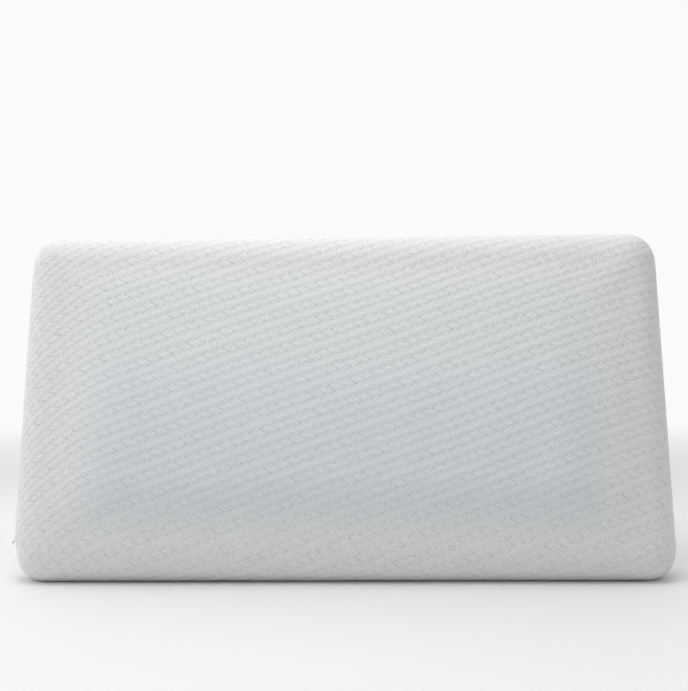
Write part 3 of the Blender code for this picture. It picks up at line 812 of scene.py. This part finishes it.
def cover_panel(side, word):
    layout = lay_out(0.0, COVER_PITCH)
    lining = lay_out(COVER_WALL, COVER_PITCH * LINING_STEPS)
    outer = place_face(side, 0.0, COVER_SEAM_HALF, True, layout)
    inner = place_face(side, COVER_WALL, COVER_SEAM_HALF, True, lining)
    cloth = cloth_map(layout, side * FRONT)
    (u, _, _), (v, _, _) = layout
    from_rim = np.minimum((u[-1] - np.abs(u))[None, :], (v[-1] - np.abs(v))[:, None])
    lift = knit_relief(cloth) * smooth(from_rim / (2 * EDGE_TUCK_RUN))
    lift = lift - EDGE_TUCK * np.exp(-((from_rim / EDGE_TUCK_RUN) ** 2))
    if settled:
        held = smooth(from_rim / SEAM_HOLD)[..., None]
        outer = outer + settle(side, layout) * held
    outer = outer + outward(outer, side) * lift[..., None]
    outer[..., 2] = np.maximum(outer[..., 2], under_edge(outer) if side == FRONT else 0.0)
    return closed_shell(f"cover_{word}_knit", outer, inner, cloth, cloth_map(lining, side * FRONT))


for side, word in ((FRONT, "front"), (BACK, "back")):
    panel = cover_panel(side, word)
    panel.data.materials.append(cover_finish(f"cover_{word}_jacquard", side == FRONT))
    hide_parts(f"cover_{word}_panel")
    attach(panel, "pillow")


# ---- Cover seam ----
# The two panels are overlocked together round three sides and past the corners of the fourth. The
# cut edges fold in as a narrow roll, and white thread crosses it in even, slightly slanting stitches.

SEAM_PITCH = 0.0025
SEAM_PROUD = 0.0001
OVERLOCK_PITCH = 0.0028
OVERLOCK_SPAN = 0.0036
OVERLOCK_SLANT = 0.0007
OVERLOCK_LIFT = 0.0007
THREAD_RADIUS = 0.00021


def stitches_group():
    """One thread arch at each step along a line, in the line's own direction and its out attribute's."""
    tree = bpy.data.node_groups.new("stitches_along_a_line", "GeometryNodeTree")
    tree.interface.new_socket("Geometry", in_out="INPUT", socket_type="NodeSocketGeometry")
    for name in ("Pitch", "Along", "Across", "Lift", "Thread radius"):
        tree.interface.new_socket(name, in_out="INPUT", socket_type="NodeSocketFloat")
    tree.interface.new_socket("Thread", in_out="INPUT", socket_type="NodeSocketMaterial")
    tree.interface.new_socket("Geometry", in_out="OUTPUT", socket_type="NodeSocketGeometry")
    given = tree.nodes.new("NodeGroupInput").outputs

    def add(kind, links, **settings):
        made = tree.nodes.new(kind)
        for name, value in settings.items():
            setattr(made, name, value)
        for name, value in links.items():
            if isinstance(value, bpy.types.NodeSocket):
                tree.links.new(value, made.inputs[name])
            else:
                made.inputs[name].default_value = value
        return made.outputs

    def half(name, sign):
        return sums(tree, "MULTIPLY", given[name], sign / 2)

    def corner(sign):
        place = {"X": half("Along", sign), "Y": half("Across", sign), "Z": half("Lift", -1)}
        return add("ShaderNodeCombineXYZ", place)[0]

    line = add("GeometryNodeMeshToCurve", {"Mesh": given["Geometry"]})["Curve"]
    spaced = {"Curve": line, "Length": given["Pitch"]}
    steps = add("GeometryNodeResampleCurve", spaced, mode="LENGTH")["Curve"]
    top = add("ShaderNodeCombineXYZ", {"Z": sums(tree, "MULTIPLY", given["Lift"], 1.5)})[0]
    ends = {"Resolution": 6, "Start": corner(-1), "Middle": top, "End": corner(1)}
    arch = add("GeometryNodeCurveQuadraticBezier", ends)["Curve"]
    thread = {"Resolution": 5, "Radius": given["Thread radius"]}
    profile = add("GeometryNodeCurvePrimitiveCircle", thread)["Curve"]
    swept = {"Curve": arch, "Profile Curve": profile, "Fill Caps": True}
    stitch = add("GeometryNodeCurveToMesh", swept)["Mesh"]
    out = add("GeometryNodeInputNamedAttribute", {"Name": "out"}, data_type="FLOAT_VECTOR")["Attribute"]
    tangent = add("GeometryNodeInputTangent", {})["Tangent"]
    turn = add("FunctionNodeAlignRotationToVector", {"Vector": tangent}, axis="X")["Rotation"]
    aim = {"Rotation": turn, "Vector": out}
    turn = add("FunctionNodeAlignRotationToVector", aim, axis="Z", pivot_axis="X")["Rotation"]
    copies = {"Points": steps, "Instance": stitch, "Rotation": turn}
    placed = add("GeometryNodeInstanceOnPoints", copies)["Instances"]
    solid = add("GeometryNodeRealizeInstances", {"Geometry": placed})["Geometry"]
    smoothed = add("GeometryNodeSetShadeSmooth", {"Geometry": solid})["Geometry"]
    coloured = {"Geometry": smoothed, "Material": given["Thread"]}
    finished = add("GeometryNodeSetMaterial", coloured)["Geometry"]
    result = tree.nodes.new("NodeGroupOutput")
    tree.links.new(finished, result.inputs["Geometry"])
    return tree


stitches = stitches_group()


def made_by_nodes(name, source, tree, values):
    """The plain mesh that a Geometry Nodes tree makes from a source object, as a new object."""
    modifier = source.modifiers.new(tree.name, "NODES")
    modifier.node_group = tree
    for item in tree.interface.items_tree:
        if item.in_out == "INPUT" and item.name in values:
            modifier[item.identifier] = values[item.name]
    evaluated = source.evaluated_get(bpy.context.evaluated_depsgraph_get())
    mesh = bpy.data.meshes.new_from_object(evaluated)
    mesh.name = name
    bpy.data.objects.remove(source, do_unlink=True)
    obj = bpy.data.objects.new(name, mesh)
    bpy.context.scene.collection.objects.link(obj)
    return obj


def guide_line(points, out, closed):
    """A line of edges with an outward direction at each point."""
    count = len(points)
    edges = [(i, (i + 1) % count) for i in range(count if closed else count - 1)]
    mesh = bpy.data.meshes.new("guide")
    mesh.from_pydata(points.tolist(), edges, [])
    mesh.attributes.new("out", "FLOAT_VECTOR", "POINT").data.foreach_set("vector", out.ravel())
    obj = bpy.data.objects.new("guide", mesh)
    bpy.context.scene.collection.objects.link(obj)
    return obj


def rim_outward(line):
    """Unit directions out of the form, in the plane of the seam."""
    tangent = np.gradient(line, axis=0)
    out = np.cross(tangent, np.array(THROUGH_THE_LEAN))
    out /= np.maximum(np.linalg.norm(out, axis=1, keepdims=True), 1e-12)
    outwards = np.sum(out * (line - line.mean(axis=0)), axis=1, keepdims=True)
    return np.where(outwards < 0, -out, out)


def away_from_zip(line):
    """The places along a rim loop, in order, that the zip leaves to the seam."""
    rise = (line[:, 1] - CENTRE_Y) * math.sin(LEAN) + (line[:, 2] + SINK) * math.cos(LEAN)
    held = (line[:, 0] < CENTRE_X) & (rise > ZIP_LOW) & (rise < ZIP_HIGH)
    order = np.roll(np.arange(len(line)), -(np.flatnonzero(held)[-1] + 1))
    return order[~held[order]]


cover_thread = thread_finish("cover_thread", (0.84, 0.84, 0.83))
cover_seam = seam_strip(
    "cover_seam_roll",
    -SEAM_PROUD,
    COVER_WALL,
    COVER_SEAM_HALF - CLEARANCE,
    (CLEARANCE, COVER_WALL),
    SEAM_PITCH,
    keep=lambda grid: away_from_zip(grid[:, 0]),
)
cover_seam.data.materials.append(thread_finish("folded_edge", (0.80, 0.80, 0.79)))
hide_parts("cover_seam")
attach(cover_seam, "pillow")

seam_line = rim_line(0.0, SEAM_PITCH, 2 * CLEARANCE)
seam_line = seam_line[away_from_zip(seam_line)]
overlock = made_by_nodes(
    "cover_seam_overlock",
    guide_line(seam_line, rim_outward(seam_line), False),
    stitches,
    {
        "Pitch": OVERLOCK_PITCH,
        "Along": OVERLOCK_SLANT,
        "Across": OVERLOCK_SPAN,
        "Lift": OVERLOCK_LIFT,
        "Thread radius": THREAD_RADIUS,
        "Thread": cover_thread,
    },
)
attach(overlock, "pillow")


# ---- Zip chain ----
# A nylon coil zip closes the -X side. Each woven tape is sewn behind a panel's edge with one row of
# running stitches, a coil is sewn to each tape, and a bar tack of satin stitches closes each end.

COIL_WIDTH = 0.0020
COIL_THICKNESS = 0.0019
COIL_PITCH = 0.0013
COIL_WIRE = 0.0003
COIL_REACH = 0.0003
COIL_STEPS = 10
BARTACK_LENGTH = 0.0030
BARTACK_THICKNESS = 0.0006
BARTACK_PITCH = 0.0004
TAPE_PITCH = 0.0010
TOPSTITCH_IN = 0.0022
TOPSTITCH_PITCH = 0.0036
TOPSTITCH_LENGTH = 0.0026
COIL_INSET = TAPE_INSET - CLEARANCE - COIL_THICKNESS
ZIP_FRAME = Matrix.Identity(4)
ZIP_FRAME.col[1].xyz = THROUGH_THE_LEAN
ZIP_FRAME.col[2].xyz = UP_THE_LEAN
ZIP_FRAME.translation = (CENTRE_X - LENGTH / 2 - SIDE_BOW, CENTRE_Y, -SINK)


def on_zip(inset, depth, rise):
    """Places given from the zip's own line, as an array of points."""
    inset, depth, rise = np.broadcast_arrays(inset, depth, rise)
    local = np.stack((inset, depth, rise, np.ones_like(inset, dtype=float)), axis=-1)
    return (local @ np.array(ZIP_FRAME).T)[..., :3]


def tape_finish():
    """Herringbone woven polyester tape."""
    material, tree, shader = finish("zip_tape_weave", (0.82, 0.82, 0.815), 0.8, sheen=0.1)
    at = node(tree, "ShaderNodeSeparateXYZ", (cloth_place(tree),)).node.outputs
    leg = sums(tree, "PINGPONG", at["X"], 0.0011)
    slanted = sums(tree, "ADD", sums(tree, "MULTIPLY", leg, 1.2), at["Y"])
    twill = sums(tree, "SINE", sums(tree, "MULTIPLY", slanted, 2 * math.pi / 0.0006))
    shade = node(tree, "ShaderNodeMapRange", (twill, -1.0, 1.0, 0.0, 0.5))
    woven = blend_colours(tree, shade, (0.84, 0.84, 0.835, 1), (0.68, 0.68, 0.675, 1))
    tree.links.new(woven, shader.inputs["Base Color"])
    raise_surface(tree, shader, twill, 0.00008)
    return material


def nylon_finish():
    """Drawn nylon monofilament, slightly milky, with scuffs where the slider runs."""
    material, tree, shader = finish("zip_nylon_coil", (0.80, 0.80, 0.79), 0.38)
    scuffs = node(tree, "ShaderNodeTexNoise", (object_place(tree), None, 900.0, 3.0))
    worn = node(tree, "ShaderNodeMapRange", (scuffs, 0.35, 0.7, 0.30, 0.55))
    tree.links.new(worn, shader.inputs["Roughness"])
    drawn = blend_colours(tree, scuffs, (0.84, 0.84, 0.83, 1), (0.74, 0.74, 0.72, 1))
    tree.links.new(drawn, shader.inputs["Base Color"])
    return material


def coil_group():
    """A flattened spiral of wire that stands on the origin along Z."""
    tree = bpy.data.node_groups.new("zip_coil", "GeometryNodeTree")
    tree.interface.new_socket("Geometry", in_out="INPUT", socket_type="NodeSocketGeometry")
    sockets = (("Turns", "Float"), ("Height", "Float"), ("Wire radius", "Float"), ("Half size", "Vector"))
    for name, kind in sockets:
        tree.interface.new_socket(name, in_out="INPUT", socket_type=f"NodeSocket{kind}")
    tree.interface.new_socket("Nylon", in_out="INPUT", socket_type="NodeSocketMaterial")
    tree.interface.new_socket("Geometry", in_out="OUTPUT", socket_type="NodeSocketGeometry")
    given = tree.nodes.new("NodeGroupInput").outputs
    spiral = tree.nodes.new("GeometryNodeCurveSpiral")
    for name, value in (("Resolution", COIL_STEPS), ("Start Radius", 1.0), ("End Radius", 1.0)):
        spiral.inputs[name].default_value = value
    tree.links.new(given["Turns"], spiral.inputs["Rotations"])
    tree.links.new(given["Height"], spiral.inputs["Height"])
    flattened = tree.nodes.new("GeometryNodeTransform")
    tree.links.new(spiral.outputs["Curve"], flattened.inputs["Geometry"])
    tree.links.new(given["Half size"], flattened.inputs["Scale"])
    profile = tree.nodes.new("GeometryNodeCurvePrimitiveCircle")
    profile.inputs["Resolution"].default_value = 5
    tree.links.new(given["Wire radius"], profile.inputs["Radius"])
    wire = tree.nodes.new("GeometryNodeCurveToMesh")
    wire.inputs["Fill Caps"].default_value = True
    tree.links.new(flattened.outputs["Geometry"], wire.inputs["Curve"])
    tree.links.new(profile.outputs["Curve"], wire.inputs["Profile Curve"])
    realized = tree.nodes.new("GeometryNodeRealizeInstances")
    tree.links.new(wire.outputs["Mesh"], realized.inputs["Geometry"])
    painted = tree.nodes.new("GeometryNodeSetMaterial")
    tree.links.new(realized.outputs["Geometry"], painted.inputs["Geometry"])
    tree.links.new(given["Nylon"], painted.inputs["Material"])
    result = tree.nodes.new("NodeGroupOutput")
    tree.links.new(painted.outputs["Geometry"], result.inputs["Geometry"])
    return tree


zip_coil = coil_group()
tape_weave = tape_finish()
nylon = nylon_finish()
tape_rises = (ZIP_LOW + CLEARANCE, ZIP_HIGH - CLEARANCE)
tape_length = tape_rises[1] - tape_rises[0]


def zip_tape(side, word):
    near = side * COIL_HALF_GAP
    depths = np.linspace(near, near + side * TAPE_WIDTH, 7)
    rises = np.linspace(*tape_rises, round(tape_length / TAPE_PITCH) + 1)
    outer = on_zip(TAPE_INSET, depths[None, :], rises[:, None])
    inner = on_zip(TAPE_INSET + TAPE_THICKNESS, depths[None, :], rises[:, None])
    woven = np.stack(np.broadcast_arrays(depths[None, :], rises[:, None]), axis=-1)
    tape = closed_shell(f"zip_tape_{word}_woven", outer, inner, woven, woven)
    tape.data.materials.append(tape_weave)
    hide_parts(f"zip_tape_{word}")
    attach(tape, "pillow")


def zip_coil_half(side, word):
    """One coil, sewn on its tape. Its turns reach past the middle, half a step from the other's."""
    guide = guide_line(np.zeros((2, 3)), np.zeros((2, 3)), False)
    far, near = COIL_HALF_GAP + COIL_WIDTH, -COIL_REACH
    half = Vector(((COIL_THICKNESS / 2 - COIL_WIRE) * side, ((far - near) / 2 - COIL_WIRE) * side, 1))
    turns = (tape_length - COIL_PITCH) / COIL_PITCH
    sizes = {"Turns": turns, "Height": tape_length - COIL_PITCH, "Half size": half}
    sizes |= {"Wire radius": COIL_WIRE, "Nylon": nylon}
    coil = made_by_nodes(f"zip_coil_{word}_nylon", guide, zip_coil, sizes)
    across = side * (far + near) / 2
    middle = Vector((COIL_INSET + COIL_THICKNESS / 2, across, tape_rises[0] + COIL_PITCH / 2))
    coil.data.transform(ZIP_FRAME @ Matrix.Translation(middle))
    coil.data.shade_smooth()
    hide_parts(f"zip_coil_{word}")
    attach(coil, "pillow")


def running_stitches(side, word):
    """The row that holds a tape behind the panel's edge, on the cover's outer face."""
    (along, x, share_x), (_, rise, share_rise) = lay_out(0.0, TAPE_PITCH)
    place = -(along[-1] - TOPSTITCH_IN)
    column = ([float(np.interp(place, along, values))] for values in (x, share_x))
    rises = np.linspace(*tape_rises, round(tape_length / TAPE_PITCH) + 1)
    row = (rises, np.zeros_like(rises))
    line = face_points(side, -THREAD_RADIUS, COVER_SEAM_HALF, True, tuple(column), row)[:, 0]
    out = np.tile(np.array((-1.0, 0, 0)) + 0.4 * side * np.array(THROUGH_THE_LEAN), (len(line), 1))
    sizes = {"Pitch": TOPSTITCH_PITCH, "Along": TOPSTITCH_LENGTH, "Across": 0.0, "Lift": 1.5 * THREAD_RADIUS}
    sizes |= {"Thread radius": THREAD_RADIUS, "Thread": cover_thread}
    row = made_by_nodes(f"zip_topstitch_{word}", guide_line(line, out, False), stitches, sizes)
    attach(row, "pillow")


def bar_tack(word, low):
    rises = np.linspace(low + THREAD_RADIUS, low + BARTACK_LENGTH - THREAD_RADIUS, 8)
    line = on_zip(COIL_INSET - CLEARANCE - THREAD_RADIUS, 0.0, rises)
    out = np.tile((-1.0, 0.0, 0.0), (len(line), 1))
    sizes = {"Pitch": BARTACK_PITCH, "Along": BARTACK_PITCH, "Across": 2 * (COIL_HALF_GAP + COIL_WIDTH)}
    sizes |= {"Lift": BARTACK_THICKNESS / 2, "Thread radius": THREAD_RADIUS, "Thread": cover_thread}
    tack = made_by_nodes(f"zip_bartack_{word}_satin", guide_line(line, out, False), stitches, sizes)
    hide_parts(f"zip_bartack_{word}")
    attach(tack, "pillow")


for side, word in ((FRONT, "front"), (BACK, "back")):
    zip_tape(side, word)
    zip_coil_half(side, word)
    running_stitches(side, word)
bar_tack("lower", ZIP_LOW)
bar_tack("upper", ZIP_HIGH - BARTACK_LENGTH)


# ---- Zip slider ----
# A small die-cast slider runs over the coils. It has a plate with a narrower nose, a flange down
# each side, and a cast bridge that holds the pull tab. Its dark plating is rubbed bright on edges.

SLIDER_LENGTH = 0.0078
SLIDER_PLATE = 0.0010
SLIDER_FLANGE = 0.0006
SLIDER_FLANGE_DEPTH = 0.0017
SLIDER_NOSE = 0.80
SLIDER_ROUNDING = 0.0011
SLIDER_CHAMFER = 0.00022
BRIDGE_WIRE = 0.0011
BRIDGE_SPAN = 0.0046
BRIDGE_HEIGHT = 0.0024
PLATE_INSET = COIL_INSET - CLEARANCE
SLIDER_HALF_WIDTH = COIL_HALF_GAP + COIL_WIDTH + CLEARANCE + SLIDER_FLANGE
SLIDER_RISE = ZIP_LOW + BARTACK_LENGTH + CLEARANCE + SLIDER_LENGTH / 2


def worn_metal_group():
    """Edge wear for plated metal: 1 on corners that are rubbed bright, and fine scratches everywhere."""
    tree = bpy.data.node_groups.new("worn_metal", "ShaderNodeTree")
    tree.interface.new_socket("Place", in_out="INPUT", socket_type="NodeSocketVector")
    tree.interface.new_socket("Wear", in_out="OUTPUT", socket_type="NodeSocketFloat")
    tree.interface.new_socket("Scratches", in_out="OUTPUT", socket_type="NodeSocketFloat")
    place = tree.nodes.new("NodeGroupInput").outputs["Place"]
    pointed = tree.nodes.new("ShaderNodeNewGeometry").outputs["Pointiness"]
    scratches = node(tree, "ShaderNodeTexNoise", (place, None, 1600.0, 4.0, 0.6))
    edges = fade(tree, sums(tree, "ADD", pointed, sums(tree, "MULTIPLY", scratches, 0.06)), 0.54, 0.62)
    result = tree.nodes.new("NodeGroupOutput")
    tree.links.new(edges, result.inputs["Wear"])
    tree.links.new(scratches, result.inputs["Scratches"])
    return tree


worn_metal = worn_metal_group()


def plated_finish(name, plating, bare, roughness):
    material, tree, shader = finish(name, plating, roughness, metallic=1.0)
    wear = use_group(tree, worn_metal, Place=object_place(tree))
    rubbed = blend_colours(tree, wear["Wear"], (*plating, 1), (*bare, 1))
    tree.links.new(rubbed, shader.inputs["Base Color"])
    reach = (roughness - 0.08, roughness + 0.12)
    rough = node(tree, "ShaderNodeMapRange", (wear["Scratches"], 0.3, 0.7, *reach))
    tree.links.new(rough, shader.inputs["Roughness"])
    raise_surface(tree, shader, wear["Scratches"], 0.00002)
    return material


def add_box(bm, low, high):
    """A box between two corners. Gives its vertices."""
    made = bmesh.ops.create_cube(bm, size=1.0)["verts"]
    low, high = Vector(low), Vector(high)
    bmesh.ops.scale(bm, vec=high - low, verts=made)
    bmesh.ops.translate(bm, vec=(low + high) / 2, verts=made)
    return made


def edges_along(verts, axis):
    """The edges between these vertices that run along one axis, in an order that never changes."""
    edges = dict.fromkeys(edge for vert in verts for edge in vert.link_edges)
    return [e for e in edges if abs((e.verts[0].co - e.verts[1].co).normalized()[axis]) > 0.9]


def object_from(bm, name, material, place):
    """A closed mesh as an object, put in its place, with softly rounded edges."""
    bmesh.ops.recalc_face_normals(bm, faces=bm.faces)
    mesh = bpy.data.meshes.new(name)
    bm.to_mesh(mesh)
    bm.free()
    mesh.transform(place)
    mesh.materials.append(material)
    mesh.shade_smooth()
    mesh.set_sharp_from_angle(angle=math.radians(35))
    obj = bpy.data.objects.new(name, mesh)
    bpy.context.scene.collection.objects.link(obj)
    return obj


def arch(bm, wire, span, height, foot):
    """The cast bridge, as a round bar swept over a half ellipse."""
    steps, sides = 20, 10
    rings = []
    for i in range(steps + 1):
        turn = math.pi * i / steps
        out, along = height * math.sin(turn) ** 0.6 - foot, -span / 2 * math.cos(turn)
        slope_out = math.cos(turn) * height
        slope_along = span / 2 * math.sin(turn)
        tangent = Vector((-slope_out, 0, slope_along)).normalized()
        normal = tangent.cross(Vector((0, 1, 0)))
        ring = []
        for k in range(sides):
            angle = 2 * math.pi * k / sides
            offset = (normal * math.cos(angle) + Vector((0, 1, 0)) * math.sin(angle)) * wire / 2
            ring.append(bm.verts.new(Vector((-out, 0, along)) + offset))
        rings.append(ring)
    for ring, after in zip(rings, rings[1:]):
        for k in range(sides):
            bm.faces.new((ring[k - 1], ring[k], after[k], after[k - 1]))
    bm.faces.new(rings[0])
    bm.faces.new(reversed(rings[-1]))


def slider_body():
    bm = bmesh.new()
    half, low, high = SLIDER_HALF_WIDTH, -SLIDER_LENGTH / 2, SLIDER_LENGTH / 2
    plate = add_box(bm, (0, -half, low), (SLIDER_PLATE, half, high))
    bmesh.ops.bevel(bm, geom=edges_along(plate, 0), offset=SLIDER_ROUNDING, segments=5, affect="EDGES")
    lip = SLIDER_PLATE + SLIDER_FLANGE_DEPTH
    ends = low + SLIDER_ROUNDING, high - SLIDER_ROUNDING
    for side in (-1, 1):
        depths = sorted((side * half, side * (half - SLIDER_FLANGE)))
        add_box(bm, (SLIDER_PLATE / 2, depths[0], ends[0]), (lip, depths[1], ends[1]))
    sharp = [edge for edge in bm.edges if edge.is_manifold and edge.calc_face_angle() > math.radians(60)]
    bmesh.ops.bevel(bm, geom=sharp, offset=SLIDER_CHAMFER, segments=3, affect="EDGES", clamp_overlap=True)
    for vert in bm.verts:
        upper = max(vert.co.z / high, 0)
        vert.co.y *= 1 - (1 - SLIDER_NOSE) * upper**2
    arch(bm, BRIDGE_WIRE, BRIDGE_SPAN, BRIDGE_HEIGHT - BRIDGE_WIRE / 2, SLIDER_PLATE / 4)
    return bm


slider_plating = plated_finish("slider_plating", (0.20, 0.205, 0.21), (0.62, 0.62, 0.61), 0.36)
slider_place = ZIP_FRAME @ Matrix.Translation((PLATE_INSET - SLIDER_PLATE, 0, SLIDER_RISE))
slider = object_from(slider_body(), "zip_slider_cast", slider_plating, slider_place)
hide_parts("zip_slider")
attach(slider, "slider")


# ---- Zip pull ----
# A flat stamped tab hangs from the bridge by the bar above its window, loosely enough to hang a
# little twisted. Its end is round, with a slot for a cord, and its edges are rolled.

PULL_LENGTH = 0.0135
PULL_WIDTH = 0.0034
PULL_THICKNESS = 0.0008
PULL_BAR = 0.0008
PULL_WINDOW_LENGTH = 0.0036
PULL_WINDOW_SIDE_GAP = 0.00025
PULL_REST_ANGLE = math.radians(17)
PULL_TWIST = math.radians(40)
PULL_ROLL = 0.00018
PULL_SLOT = (0.0007, 0.0030)
PULL_SLOT_FROM_END = 0.0012
BRIDGE_UNDERSIDE = BRIDGE_HEIGHT - BRIDGE_WIRE / 2


def round_box(low, high, radius, steps=6):
    """The outline of a box with round corners, as points in order."""
    points = []
    middle_x, middle_y = (low[0] + high[0]) / 2, (low[1] + high[1]) / 2
    corners = ((high[0], high[1], 0), (low[0], high[1], 1), (low[0], low[1], 2), (high[0], low[1], 3))
    for x, y, quarter in corners:
        centre = (x - math.copysign(radius, x - middle_x), y - math.copysign(radius, y - middle_y))
        for i in range(steps + 1):
            angle = math.pi / 2 * (quarter + i / steps)
            points.append((centre[0] + radius * math.cos(angle), centre[1] + radius * math.sin(angle)))
    return points


def pull_tab():
    """The tab's outline, window and slot as a filled curve with rolled edges, made a mesh."""
    half, bar = PULL_WIDTH / 2, PULL_BAR / 2
    window = BRIDGE_WIRE / 2 + PULL_WINDOW_SIDE_GAP
    slot_low = -PULL_LENGTH + PULL_SLOT_FROM_END
    loops = [
        round_box((-half, -PULL_LENGTH), (half, bar), half * 0.7),
        round_box((-window, -bar - PULL_WINDOW_LENGTH), (window, -bar), window * 0.4),
        round_box((-PULL_SLOT[0], slot_low), (PULL_SLOT[0], slot_low + PULL_SLOT[1]), PULL_SLOT[0] * 0.95),
    ]
    curve = bpy.data.curves.new("pull_outline", "CURVE")
    curve.dimensions = "2D"
    curve.fill_mode = "BOTH"
    curve.extrude = PULL_THICKNESS / 2 - PULL_ROLL
    curve.bevel_depth = PULL_ROLL
    curve.bevel_resolution = 2
    curve.offset = -PULL_ROLL
    for loop in loops:
        spline = curve.splines.new("POLY")
        spline.points.add(len(loop) - 1)
        spline.use_cyclic_u = True
        for point, (across, along) in zip(spline.points, loop):
            point.co = (across, along, 0, 1)
    outline = bpy.data.objects.new("pull_outline", curve)
    bpy.context.scene.collection.objects.link(outline)
    evaluated = outline.evaluated_get(bpy.context.evaluated_depsgraph_get())
    mesh = bpy.data.meshes.new_from_object(evaluated)
    bpy.data.objects.remove(outline, do_unlink=True)
    bm = bmesh.new()
    bm.from_mesh(mesh)
    bmesh.ops.remove_doubles(bm, verts=bm.verts, dist=1e-6)
    return bm


pull_plating = plated_finish("pull_plating", (0.52, 0.525, 0.53), (0.80, 0.80, 0.79), 0.34)
flat_to_tab = Matrix(((0, 0, 1, 0), (1, 0, 0, 0), (0, 1, 0, 0), (0, 0, 0, 1)))
hinge = Matrix.Translation((PLATE_INSET - SLIDER_PLATE - BRIDGE_UNDERSIDE / 2, 0, SLIDER_RISE))
turned = Matrix.Rotation(PULL_REST_ANGLE, 4, "Y") @ Matrix.Rotation(PULL_TWIST, 4, "Z")
pull_place = ZIP_FRAME @ hinge @ turned @ flat_to_tab
pull = object_from(pull_tab(), "zip_pull_tab", pull_plating, pull_place)
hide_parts("zip_pull")
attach(pull, "pull")


# ---- Studio ----
# A pale table top in a bright, soft room: light comes from all round, more of it from behind and
# from the left, and from a wide panel above the front. The camera looks at the front from low down.

CAMERA_PLACE = (0.0303, -1.1349, 0.2481)
CAMERA_YAW = 0.0228
CAMERA_ROLL = 0.0067
LENS = 53.55
SENSOR = 36.0
FLOOR_HALF = 12.0
FLOOR_FADE = (2.4, 0.75)
AMBIENT = 0.27
FROM_BEHIND = 0.66
FROM_LEFT = 0.68
FROM_RIGHT = 0.35
BACKDROP = 0.96
FRONT_PANEL_PLACE = (-0.15, -0.30, 1.30)
FRONT_PANEL_AIM = (0.0, 0.0, 0.2)
FRONT_PANEL_SIZE = 0.9
FRONT_PANEL_POWER = 8.4
SIDE_PANEL_PLACE = (-1.7, 0.15, 0.7)
SIDE_PANEL_AIM = (-0.2, 0.0, 0.15)
SIDE_PANEL_SIZE = 1.0
SIDE_PANEL_POWER = 2.8

camera_data = bpy.data.cameras.new("studio_camera")
camera_data.sensor_fit = "HORIZONTAL"
camera_data.sensor_width = SENSOR
camera_data.lens = LENS
camera = bpy.data.objects.new("studio_camera", camera_data)
camera.location = CAMERA_PLACE
camera.rotation_euler = (math.pi / 2, CAMERA_ROLL, CAMERA_YAW)
bpy.context.scene.collection.objects.link(camera)
bpy.context.scene.camera = camera

bpy.ops.mesh.primitive_plane_add(size=2 * FLOOR_HALF, location=(0, 0, 0))
floor = bpy.context.object
floor.name = "studio_floor"
floor_material, floor_tree, floor_shader = finish("pale_table", (0.86, 0.86, 0.865), 0.6)
floor_place = object_place(floor_tree)
from_middle = node(floor_tree, "ShaderNodeVectorMath", (floor_place,), "Value", operation="LENGTH")
floor_tree.links.new(fade(floor_tree, from_middle, *FLOOR_FADE), floor_shader.inputs["Alpha"])
floor.data.materials.append(floor_material)


def studio_world():
    """Light from all round: an even part, and more from behind, from the left and from the right."""
    world = bpy.data.worlds.new("studio_light")
    world.use_nodes = True
    tree = world.node_tree
    generated = tree.nodes.new("ShaderNodeTexCoord").outputs["Generated"]
    way = node(tree, "ShaderNodeSeparateXYZ", (generated,)).node.outputs
    behind = fade(tree, way["Y"], -0.2, 0.6)
    left = fade(tree, way["X"], -0.2, -0.9)
    right = fade(tree, way["X"], 0.4, 1.0)
    strength = sums(tree, "ADD", sums(tree, "MULTIPLY", behind, FROM_BEHIND), AMBIENT)
    strength = sums(tree, "ADD", sums(tree, "MULTIPLY", left, FROM_LEFT), strength)
    strength = sums(tree, "ADD", sums(tree, "MULTIPLY", right, FROM_RIGHT), strength)
    seen = tree.nodes.new("ShaderNodeLightPath").outputs["Is Camera Ray"]
    strength = node(tree, "ShaderNodeMix", (seen, None, strength, BACKDROP))
    background = tree.nodes["Background"]
    background.inputs["Color"].default_value = (1.0, 1.0, 1.0, 1)
    tree.links.new(strength, background.inputs["Strength"])
    bpy.context.scene.world = world


def soft_light(name, place, aim, size, power):
    """A square light panel that faces a point."""
    data = bpy.data.lights.new(name, "AREA")
    data.size = size
    data.energy = power
    light = bpy.data.objects.new(name, data)
    light.location = place
    light.rotation_euler = (Vector(aim) - Vector(place)).to_track_quat("-Z", "Y").to_euler()
    bpy.context.scene.collection.objects.link(light)


studio_world()
soft_light("front_panel", FRONT_PANEL_PLACE, FRONT_PANEL_AIM, FRONT_PANEL_SIZE, FRONT_PANEL_POWER)
soft_light("side_panel", SIDE_PANEL_PLACE, SIDE_PANEL_AIM, SIDE_PANEL_SIZE, SIDE_PANEL_POWER)
bpy.context.scene.view_settings.view_transform = "Standard"
